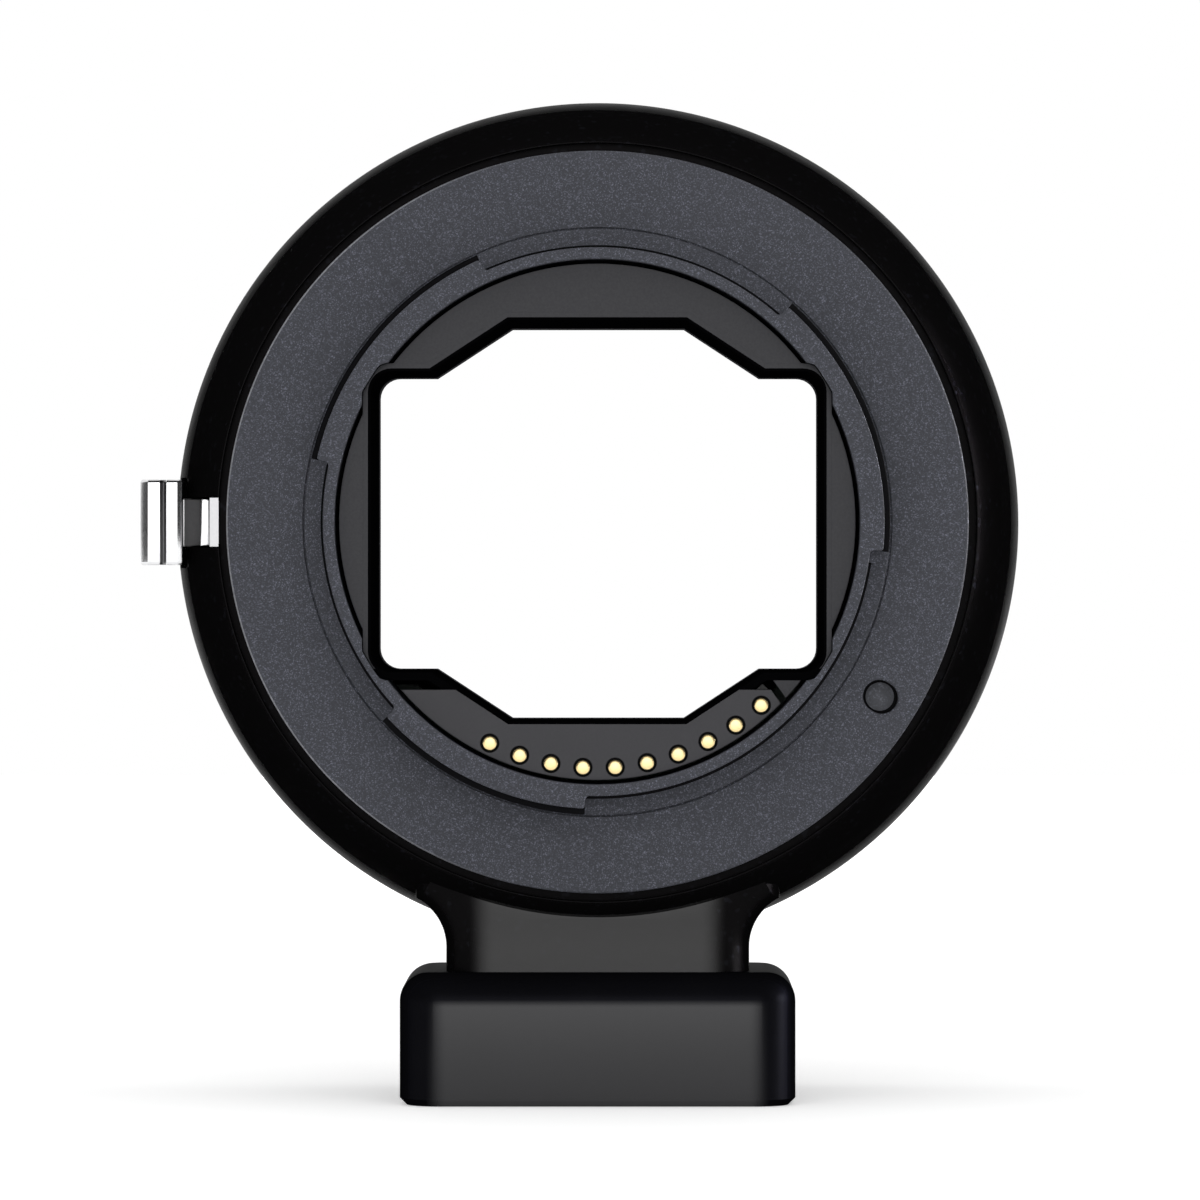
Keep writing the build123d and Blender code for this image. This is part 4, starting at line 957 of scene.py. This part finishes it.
baffle = plate("light_baffle", [tunnel(TUNNEL_WALL, INSIDE_TUBE), tunnel(0.0)], BAFFLE_REAR, BAFFLE_FRONT,
               0.06, edge_steps=2)
rear_rim = arc(RIM_RADIUS, -43.08, 217.9, 150) + [(13.75, SHELF)]
rear_plate = plate("rear_plate", [rear_rim], BAFFLE_REAR + 0.02, BAFFLE_REAR + 0.8, 0.06, edge_steps=2)
cut(rear_plate, plate("plate_opening", [tunnel(0.3)], BAFFLE_REAR - 1, BAFFLE_REAR + 2))
lens_window = arc(24.7, 242.7, 297.3, 30) + arc(20.3, 297.3, 242.7, 30)
front_plate = plate("front_plate", [arc(FRONT_PLATE_RADIUS, 0, 360, 180)[:-1], tunnel(0.3), lens_window],
                    BAFFLE_FRONT - 1.2, BAFFLE_FRONT - 0.02, 0.1, edge_steps=2)
join(baffle, rear_plate, front_plate)
mouth_low = both_sides([(18.4, -11.5)] + grown(TUNNEL, 0.62)[3:6])
cut(baffle, plate("mouth", [tunnel(0.2)], BAFFLE_REAR - 1, BAFFLE_REAR + 0.12),
    plate("mouth_low", [mouth_low], BAFFLE_REAR - 1, BAFFLE_REAR + 0.12))
baffle.data.materials.append(BAFFLE_BLACK)
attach(baffle, "body")
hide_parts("baffle")
print("baffle faces:", len(baffle.data.polygons))

# %% [markdown]
# ## The camera contacts
# Ten gold pads lie in a moulded block under the tunnel, each in a round well whose dark rim is
# painted shade. The wells are cut with copies of one cutter, and the pads are copies of one turned pad.

# %% Contact block
BLOCK_BACK = -1.8
BLOCK_TOP = -13.15
PAD_COUNT = 10
PADS = (19.25, 244.1, 7.52, PAD_COUNT)
WELL_RADIUS = 0.76


def slant(by):
    """The grown tunnel's lower slant: where it meets the block's top edge, and its low corner."""
    high, low = grown(TUNNEL, by)[4:6]
    part = (BLOCK_TOP - high[1]) / (low[1] - high[1])
    return [(high[0] + (low[0] - high[0]) * part, BLOCK_TOP), low]


block_face = arc(RIM_RADIUS, 220.6, 315.24, 70) + [(13.6, BLOCK_TOP)] + both_sides(slant(NOTCH_WALL))
contact_block = plate("camera_contact_block", [block_face], BLOCK_FACE, BLOCK_BACK, 0.07, edge_steps=2)
lip = both_sides(slant(0.05)) + both_sides(slant(0.75))[::-1]
join(contact_block, plate("block_lip", [lip], BLOCK_FACE, BAFFLE_REAR - 0.01))
cut(contact_block, on_circle("pad_wells", bore("well", WELL_RADIUS, BLOCK_FACE - 1, BLOCK_FACE + 0.7), *PADS))
contact_block.data.materials.append(MOULDING)
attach(contact_block, "body")
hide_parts("rear_contact_block")
print("contact block faces:", len(contact_block.data.polygons))

# %% Gold pads
PAD_RADIUS = 0.575
PAD_STEM = 0.35
PAD_BACK = BLOCK_FACE + 0.34

pad = lathe("pad", rounded([(0, BLOCK_BACK), (0, BLOCK_FACE), (PAD_STEM, BLOCK_FACE + 0.015),
                            (PAD_RADIUS, BLOCK_FACE + 0.06, 0.1), (PAD_RADIUS, PAD_BACK),
                            (PAD_STEM, PAD_BACK), (PAD_STEM, BLOCK_BACK)], 4), 32)
pads = on_circle("camera_contacts", pad, *PADS, GOLD)
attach(pads, "body")
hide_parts(*[f"rear_contact_{number:02d}" for number in range(1, PAD_COUNT + 1)])
print("pad faces:", len(pads.data.polygons))

# %% [markdown]
# ## The tripod foot
# A milled block with round corners, a wide rounding round its top and a small chamfer at its base.
# The outline is drawn at each height, inset as the rounding asks, and the levels are skinned. The
# thread's bore and the two screw wells are cut from below.

# %% Foot
FOOT_HALF = 15.68
FOOT_FRONT = 0.4
FOOT_BACK = 19.0
FOOT_BOTTOM = -46.1
FOOT_TOP = -35.6
FOOT_CORNER = 3.2
FOOT_ROUND = 2.3
FOOT_CHAMFER = 0.55
ROUND_STEPS = 12
BUSH_SEAT = -38.5
SCREW_SEAT = -40.1
UNDER_FOOT = -50


def foot_level(inset, height):
    """The foot's outline at one height, drawn in by an inset."""
    x = FOOT_HALF - inset
    front, back = FOOT_FRONT + inset, FOOT_BACK - inset
    corner = FOOT_CORNER - inset
    outline = rounded([(-x, front, corner), (x, front, corner), (x, back, corner), (-x, back, corner)], 12)
    return [(u, v, height) for u, v in outline]


levels = [foot_level(FOOT_CHAMFER, FOOT_BOTTOM), foot_level(0.0, FOOT_BOTTOM + FOOT_CHAMFER)]
for step in range(ROUND_STEPS + 1):
    turn = math.radians(90 * step / ROUND_STEPS)
    levels.append(foot_level(FOOT_ROUND * (1 - math.cos(turn)), FOOT_TOP - FOOT_ROUND * (1 - math.sin(turn))))
foot = skin("tripod_foot", levels)
cut(foot, bore_up("boss_pocket", 0, FOOT_MIDDLE, 5.55, BUSH_SEAT - 0.1, -34),
    bore_up("bush_bore", 0, FOOT_MIDDLE, 4.55, UNDER_FOOT, BUSH_SEAT))
for side in FOOT_SCREWS:
    cut(foot, bore_up("screw_shank", side, FOOT_MIDDLE, 1.35, UNDER_FOOT, -30),
        bore_up("screw_well", side, FOOT_MIDDLE, 2.5, UNDER_FOOT, SCREW_SEAT))
foot.data.materials.append(FOOT_BLACK)
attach(foot, "body")
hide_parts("foot")
print("foot faces:", len(foot.data.polygons))

# %% [markdown]
# ## The release lever
# A polished head outside the barrel, grooved along its rear face and ridged for the thumb, a neck
# through the wall, and a thin arm that runs along it to the lock pin. It all slides as one piece.

# %% Lever
HEAD_OUTER = 36.25
HEAD_REAR = 3.2
HEAD_FRONT = 11.0
HEAD_HALF = 3.375
HEAD_BEVEL = 0.62
RIDGES = 4
RIDGE_STEP = 1.4
NECK_ENDS = (-33.3, -31.1)
NECK_DEPTHS = (5.2, 8.8)

grip = []
for step in range(RIDGES):
    y = HEAD_FRONT - 1.3 - RIDGE_STEP * step
    grip += [(-HEAD_OUTER, y + 0.4, 0.1), (-HEAD_OUTER + 0.35, y, 0.12), (-HEAD_OUTER, y - 0.4, 0.1)]
head_outline = rounded([
    (-HEAD_OUTER, HEAD_REAR + HEAD_BEVEL, 0.08), (-HEAD_OUTER + HEAD_BEVEL, HEAD_REAR, 0.06),
    (GROOVE[0], HEAD_REAR, 0.08), (GROOVE[1], HEAD_REAR + 0.4, 0.04), (GROOVE[2], HEAD_REAR, 0.05),
    (-HEAD_INNER - 0.40, HEAD_REAR, 0.08), (-HEAD_INNER, HEAD_REAR + 0.18, 0.06),
    (-HEAD_INNER, HEAD_FRONT, 0.2), (-HEAD_OUTER, HEAD_FRONT, 0.5), *grip], 5)
lever = plate("release_lever_polished", [head_outline], -HEAD_HALF, HEAD_HALF, 0.24, axis="Z")
neck_outline = rounded([(NECK_ENDS[0], NECK_DEPTHS[0]), (NECK_ENDS[1], NECK_DEPTHS[0], 0.1),
                        (NECK_ENDS[1], NECK_DEPTHS[1], 0.1), (NECK_ENDS[0], NECK_DEPTHS[1])], 3)
neck_bar = plate("lever_neck", [neck_outline], -1.9, 1.9, 0.1, axis="Z")
arm = block("lever_arm", (-31.5, -30.7), (3.4, 19.2), (-1.925, 1.925), 0.14)
pin_foot = block("lever_foot", (-31.2, -28.4), (17.6, 19.1), (-1.7, 1.7), 0.15)
join(lever, neck_bar, arm, pin_foot)
lever.data.materials.append(LEVER_CHROME)
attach(lever, "release")
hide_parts("release_lever")
print("lever faces:", len(lever.data.polygons),
      "outermost x in mm:", round(min(v.co.x for v in lever.data.vertices) / MM, 2))

# %% [markdown]
# ## The lens-side ring
# A satin chromed ring with the lens bayonet: a throat with three lugs, four countersunk screws, a
# hole for the lock pin and a red index dot. Like the camera side it is turned, then cut.

# %% Lens ring
FLANGE = 26.0
THROAT = 27.0
RING_RADIUS = 32.5
RING_BACK = 21.85
LEAF_STEP = 28.4
LENS_LUGS = (60.0, 180.0, 300.0)
LUG_REACH = 25.4
LUG_HALF_TURN = 31
LUG_THICKNESS = 1.4
SHANK_RADIUS, CONE_RADIUS = 1.0, 1.9
CONE_DEPTH = 1.2
LENS_DOT = (30.0, 90)

ring = lathe("lens_mount_ring", rounded([
    (THROAT, RING_BACK, 0.1), (LEAF_STEP, RING_BACK, 0.1), (LEAF_STEP, LENS_SEAT),
    (RING_RADIUS, LENS_SEAT, 0.1), (RING_RADIUS, FLANGE, 0.2), (THROAT, FLANGE, 0.12)], 4), 360)
for middle in LENS_LUGS:
    start, end = middle - LUG_HALF_TURN, middle + LUG_HALF_TURN
    tips = [at(LUG_REACH, end, 0.5), *arc(LUG_REACH, end - 2, start + 2, 40), at(LUG_REACH, start, 0.5)]
    outline = rounded([*arc(THROAT + 0.4, start, end, 40), *tips], 5)
    join(ring, plate("lens_lug", [outline], FLANGE - LUG_THICKNESS, FLANGE - 0.01, 0.1, edge_steps=2))


def countersink(room):
    """A cutter for a countersunk screw with some room round it, from the flange face down."""
    shank, head = SHANK_RADIUS + room, CONE_RADIUS + room
    return [(0, FLANGE - 7.5), (shank, FLANGE - 7.5), (shank, FLANGE - CONE_DEPTH), (head, FLANGE),
            (head, FLANGE + 1), (0, FLANGE + 1)]


cut(ring, on_circle("countersinks", lathe("countersink", countersink(0.06), 40), *RING_SCREWS),
    on_circle("pin_hole", bore("hole", LOCK_PIN_BORE, 23, 27), *LOCK_PIN_HOLE),
    on_circle("dot_hole", bore("hole", 1.0, FLANGE - 0.4, 27), *LENS_DOT))
ring.data.materials.append(LENS_RING)
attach(ring, "body")
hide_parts("lens_mount")
print("lens ring faces:", len(ring.data.polygons))

# %% [markdown]
# ## Screws
# The screws differ in size but not in kind: a turned head on a shank, with a cross driven into it.
# One function draws them, and the tree above sets them round the axis.

# %% Screws with cross recesses
CROSS_WIDTH, CROSS_REACH, CROSS_DEPTH = 0.3, 0.62, 0.38  # shares of the head's radius


def cross_cutter(width, reach, low, high):
    """Two crossed bars that leave a cross recess."""
    half = width / 2
    corners = [(half, half), (reach, half), (reach, -half), (half, -half), (half, -reach), (-half, -reach),
               (-half, -half), (-reach, -half), (-reach, half), (-half, half), (-half, reach), (half, reach)]
    return plate("cross", [corners], low, high)


def screw(profile, head_radius, top):
    """A turned screw with a cross in its head."""
    cross = cross_cutter(head_radius * CROSS_WIDTH, head_radius * CROSS_REACH,
                         top - head_radius * CROSS_DEPTH, top + 1)
    return cut(lathe("screw", rounded(profile, 4), 40), cross)


def pan_screw(radius, height, shank, length, seat):
    """A screw with a low round head that stands on its seat."""
    profile = [(0, seat - length), (shank, seat - length), (shank, seat), (radius, seat),
               (radius, seat + height, height * 0.5), (0, seat + height)]
    return screw(profile, radius, seat + height)


def flush_screw():
    """A countersunk screw of the lens ring, a hair below its face."""
    top = FLANGE - 0.02
    return screw([(0, 20.5), (SHANK_RADIUS, 20.5), (SHANK_RADIUS, FLANGE - CONE_DEPTH),
                  (CONE_RADIUS, top, 0.05), (0, top)], CONE_RADIUS, FLANGE)


def small_pans(name, circle, angles):
    """Pan screws in the baffle's front plate at uneven angles, joined in one mesh."""
    pieces = []
    for angle in angles:
        made = pan_screw(radius=1.3, height=0.7, shank=0.7, length=4.0, seat=BAFFLE_FRONT)
        pieces.append(on_circle(name, made, circle, angle, material=SCREW_STEEL))
    whole = bmesh.new()
    for one in pieces:
        whole.from_mesh(one.data)
    for one in pieces[1:]:
        bpy.data.objects.remove(one)
    whole.to_mesh(pieces[0].data)
    whole.free()
    return pieces[0]


print("cross recess reaches", CROSS_REACH, "of a head's radius")

# %% The screw sets
PIN_CIRCLE = 22.5
BLOCK_SCREW_ANGLES = (239.1, 300.9)

plate_screw = pan_screw(radius=1.8, height=1.1, shank=1.0, length=3.7, seat=REAR_WALL_FRONT)
board_screw = pan_screw(radius=1.3, height=0.7, shank=0.7, length=3.4, seat=6.8)
board_places = (BOARD_CIRCLE, BOARD_ANGLES[0], BOARD_ANGLES[1] - BOARD_ANGLES[0], len(BOARD_ANGLES))
screw_sets = {
    "lens_mount_screws": on_circle("lens_ring_screws", flush_screw(), *RING_SCREWS, SCREW_STEEL),
    "rear_mount_screws": on_circle("camera_plate_screws", plate_screw, *PLATE_SCREWS, SCREW_STEEL),
    "board_screws": on_circle("board_fixing_screws", board_screw, *board_places, SCREW_STEEL),
    "baffle_screws": small_pans("baffle_fixing_screws", POST_CIRCLE, POST_ANGLES),
    "front_block_screws": small_pans("lens_block_screws", PIN_CIRCLE, BLOCK_SCREW_ANGLES),
}
for node, made in screw_sets.items():
    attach(made, "body")
    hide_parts(node)
print("screw sets:", len(screw_sets))

# %% [markdown]
# ## The lens contacts
# Eight sprung pins stand in a moulded block at the foot of the baffle's front plate. Each pin is a
# body of its own that sinks when a lens presses it, so each is its own piece.

# %% Lens contact block
PIN_STEP = 6.3
PIN_COUNT = 8
FIRST_PIN = 270 - (PIN_COUNT - 1) / 2 * PIN_STEP
LENS_BLOCK_FRONT = 20.6
PIN_TIP = LENS_BLOCK_FRONT + 1.2
PIN_RADIUS = 0.65
PIN_ROOM = 0.04
COLLAR_RADIUS = 0.88
COLLAR_LOW, COLLAR_HIGH = 18.9, 19.5
FACE_INNER, FACE_OUTER = 20.4, 24.6
FACE_START, FACE_END = 243, 297

lens_face = rounded([at(FACE_OUTER, FACE_START, 0.4), *arc(FACE_OUTER, FACE_START + 3, FACE_END - 3, 30),
                     at(FACE_OUTER, FACE_END, 0.4), at(FACE_INNER, FACE_END, 0.4),
                     *arc(FACE_INNER, FACE_END - 3, FACE_START + 3, 30), at(FACE_INNER, FACE_START, 0.4)], 4)
lens_block = plate("lens_contact_block", [lens_face], 14.0, LENS_BLOCK_FRONT, 0.15)
flange_face = arc(25.4, 236, 304, 30) + arc(19.6, 304, 236, 30)
join(lens_block, plate("block_flange", [flange_face], 17.0, 18.48))
pin_places = (PIN_CIRCLE, FIRST_PIN, PIN_STEP, PIN_COUNT)
cut(lens_block, on_circle("pin_wells", bore("well", PIN_RADIUS + PIN_ROOM, 13, 22), *pin_places),
    on_circle("collar_wells", bore("well", COLLAR_RADIUS + PIN_ROOM, 13, COLLAR_HIGH), *pin_places))
lens_block.data.materials.append(CHIPS)
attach(lens_block, "body")
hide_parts("front_contact_block")
print("lens block faces:", len(lens_block.data.polygons))

# %% Lens contact pins
pin_profile = rounded([(0, COLLAR_LOW), (COLLAR_RADIUS, COLLAR_LOW, 0.05), (COLLAR_RADIUS, COLLAR_HIGH, 0.05),
                       (PIN_RADIUS, COLLAR_HIGH), (PIN_RADIUS, PIN_TIP, 0.45), (0, PIN_TIP)], 6)
for number in range(1, PIN_COUNT + 1):
    pin = on_circle(f"lens_contact_{number}", lathe("pin", pin_profile, 32), PIN_CIRCLE,
                    FIRST_PIN + PIN_STEP * (number - 1), material=GOLD)
    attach(pin, f"contact_{number}")
    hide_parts(f"lens_pin_{number}")
print("lens contacts made")

# %% [markdown]
# ## Coil springs
# A rigid coil would be cut by the pin that presses on it. Each coil is redrawn from its CAD
# node's box, with ground ends.

# %% Coils
COIL_SIDES = 8
COIL_STEPS = 28
CLOSED_TURNS = 0.75


def coil(node, turns, wire):
    """A coil along Y that fills its node's box, its first and last turns closed."""
    low, high = ([value / MM for value in corner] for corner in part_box(node))
    x, z = (low[0] + high[0]) / 2, (low[2] + high[2]) / 2
    sweep = (high[0] - low[0]) / 2 - wire / 2
    rings = []
    for step in range(turns * COIL_STEPS + 1):
        turned = step / COIL_STEPS
        risen = min(max((turned - CLOSED_TURNS) / (turns - 2 * CLOSED_TURNS), 0.0), 1.0)
        y = low[1] + wire / 2 + (high[1] - low[1] - wire) * risen
        ring = []
        for side in range(COIL_SIDES):
            around = math.tau * side / COIL_SIDES
            out = sweep + wire / 2 * math.cos(around)
            ring.append((x + out * math.cos(math.tau * turned), y + wire / 2 * math.sin(around),
                         z + out * math.sin(math.tau * turned)))
        rings.append(ring)
    piece = skin(f"{node}_coil", rings)
    piece.data.materials.append(SPRING_STEEL)
    return piece, low[1], high[1]


springs = [("lock_pin_spring", 4, 0.3, "release_slide", 2.6)]
springs += [(f"pin_spring_{number}", 5, 0.16, f"contact_{number}_press", 1.0)
            for number in range(1, PIN_COUNT + 1)]
for node, turns, wire, joint, travel in springs:
    piece, seat, top = coil(node, turns, wire)
    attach(piece, "body")
    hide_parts(node)
    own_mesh(piece)
print("coils:", len(springs))

# %% [markdown]
# ## The CAD nodes that stay
# The strip over the lever's channel, the lock pin, the sheet spring, the ribbons, the board, the
# bush, the index dots and the screws of strip and foot are right as they come from the CAD, so they
# keep their shape and only get their finish.

# %% Finishes for the nodes that stay
FINISH = {
    "lever_guide": GUIDE_STEEL, "lock_pin": CHROME, "bayonet_spring": SPRING_STEEL,
    "lever_guide_screws": SCREW_STEEL, "foot_screws": SCREW_STEEL, "tripod_bush": BUSH_STEEL,
    "circuit_board": BOARD, "board_components": CHIPS, "rear_flex": RIBBON, "front_flex": RIBBON,
    "lens_index_dot": INDEX_RED, "camera_index_dot": INDEX_WHITE,
}
for title, material in FINISH.items():
    for slot_number in range(len(nodes[title].material_slots)):
        nodes[title].material_slots[slot_number].material = material
print("CAD nodes painted:", len(FINISH))

# %% [markdown]
# ## Floor and surround
# The object stands on a plain pale floor before a white surround. Camera, mirror and glass rays see
# them white, while everything else gets a modest grey light from them, so that the white of the
# background adds nothing to the light on the object. The floor keeps the object's shadow.

# %% Floor and world
FLOOR_HALF = 0.9
FLOOR_HEIGHT = (FOOT_BOTTOM - 0.03) * MM
WHITE = (1.0, 1.0, 1.0)
WHITE_RAYS = ("Is Camera Ray", "Is Glossy Ray", "Is Transmission Ray")

floor_mesh = bpy.data.meshes.new("floor")
floor_corners = [(-FLOOR_HALF, -FLOOR_HALF), (FLOOR_HALF, -FLOOR_HALF), (FLOOR_HALF, FLOOR_HALF),
                 (-FLOOR_HALF, FLOOR_HALF)]
floor_mesh.from_pydata([(x, y, FLOOR_HEIGHT) for x, y in floor_corners], [], [(0, 1, 2, 3)])
floor = piece_of("floor", floor_mesh)


def sees_white(graph):
    """1 for the rays that see the background, and 0 for those that carry light."""
    return sum(graph.add("ShaderNodeLightPath", {}, {}, ray) for ray in WHITE_RAYS)


def floor_paint():
    """A pale floor that reads white to the camera and to mirrors, and keeps the shadow."""
    paint = Paint("pale_floor", Roughness=0.9, Specular_IOR_Level=0.0, Emission_Strength=1.0)
    grain = paint.noise(40.0, 2.0)
    paint.set("Base Color", paint.blend(grain, (0.80, 0.80, 0.80), (0.83, 0.83, 0.83)))
    flat = paint.add("ShaderNodeVectorMath", {"operation": "MULTIPLY"}, {0: paint.place, 1: (1, 1, 0)})
    away = paint.add("ShaderNodeVectorMath", {"operation": "LENGTH"}, {0: flat}, "Value")
    white = sees_white(paint) * (0.42 + paint.ramp(away, 0.1, 0.5) * 0.48)
    colour = paint.add("ShaderNodeCombineColor", {}, {"Red": white, "Green": white, "Blue": white})
    paint.set("Emission Color", colour)
    return paint.material


floor_mesh.materials.append(floor_paint())

world = bpy.data.worlds.new("studio")
bpy.context.scene.world = world
world.use_nodes = True
surround = Graph(world.node_tree)
ambient = surround.add("ShaderNodeBackground", {}, {"Color": WHITE, "Strength": 0.35})
shown = surround.add("ShaderNodeBackground", {}, {"Color": WHITE, "Strength": 1.0})
either = surround.add("ShaderNodeMixShader", {}, {0: sees_white(surround), 1: ambient, 2: shown})
surround.add("ShaderNodeOutputWorld", {}, {"Surface": either})
print("floor", round(FLOOR_HEIGHT / MM, 2), "mm high, world with", len(world.node_tree.nodes), "nodes")

# %% [markdown]
# ## Cards and lamps
# Black enamel shows what it mirrors, and before a white surround that would be white. So a dark
# card stands round the sides and the front, and a dark grey one on the left, as a photographer
# would set them. Only reflections see them. One large soft light stands behind the camera, one
# above and one behind, and a panel on the right, whose reflection draws the bright strip along the
# shoulder, is seen by reflections alone.

# %% Cards


def card_paint(name, shade):
    return Paint(name, Base_Color=(shade, shade, shade), Roughness=1.0, Specular_IOR_Level=0.0).material


CARD_RADIUS = 330
CARD_BOTTOM, CARD_TOP = -900, 44
for name, finish, shade, start, end in (("front_card", "dark_card", 0.045, -165, 170),
                                        ("left_card", "grey_card", 0.09, 170, 195)):
    card = lathe(name, [(CARD_RADIUS, CARD_BOTTOM), (CARD_RADIUS + 1, CARD_BOTTOM),
                        (CARD_RADIUS + 1, CARD_TOP), (CARD_RADIUS, CARD_TOP)], 64, start, end)
    card.data.materials.append(card_paint(finish, shade))
    card.visible_camera = False
    card.visible_diffuse = False
    card.visible_shadow = False
    print(name, "covers", end - start, "degrees")

# %% Lamps


def soft_light(name, place, size, radiance, target=(0, 0.01, 0)):
    """A soft light of a given brightness, its place and size in metres, aimed at the object."""
    lamp = bpy.data.lights.new(name, "AREA")
    lamp.shape = "RECTANGLE"
    lamp.size, lamp.size_y = size
    lamp.energy = radiance * math.pi * size[0] * size[1]
    lit = bpy.data.objects.new(name, lamp)
    lit.location = place
    lit.rotation_euler = (Vector(target) - Vector(place)).to_track_quat("-Z", "Y").to_euler()
    lit.visible_camera = False
    bpy.context.scene.collection.objects.link(lit)
    return lit


soft_light("front_light", place=(0.0, -0.95, 0.1), size=(1.5, 1.5), radiance=1.35)
for name, place in (("back_light", (0.0, 1.1, 0.25)), ("top_light", (0.0, -0.1, 0.9))):
    soft_light(name, place, size=(0.9, 0.8), radiance=1.6).visible_glossy = False
panel = soft_light("right_panel", place=(0.3, 0.03, -0.05), size=(0.26, 0.5), radiance=18.0)
panel.visible_diffuse = False

# %% [markdown]
# ## Camera
# A long lens from half a metre, level, a little right of and below the optical axis, as the
# photograph's perspective shows. A small shift frames the object as there.

# %% Camera
EYE = (2.17, -545, -4.17)
FRAME_PIXELS = 1200
SHIFT_PIXELS = -25

eye = bpy.data.cameras.new("camera")
eye.sensor_width = 36.0
eye.lens = 207.645
eye.shift_x = eye.shift_y = SHIFT_PIXELS / FRAME_PIXELS
eye.clip_start = 0.01
eye.clip_end = 50.0
camera = bpy.data.objects.new("camera", eye)
camera.location = [value * MM for value in EYE]
camera.rotation_euler = (math.radians(90), 0, 0)
bpy.context.scene.collection.objects.link(camera)
bpy.context.scene.camera = camera
bpy.context.scene.view_settings.view_transform = "Standard"
print("camera at", tuple(round(value, 4) for value in camera.location))
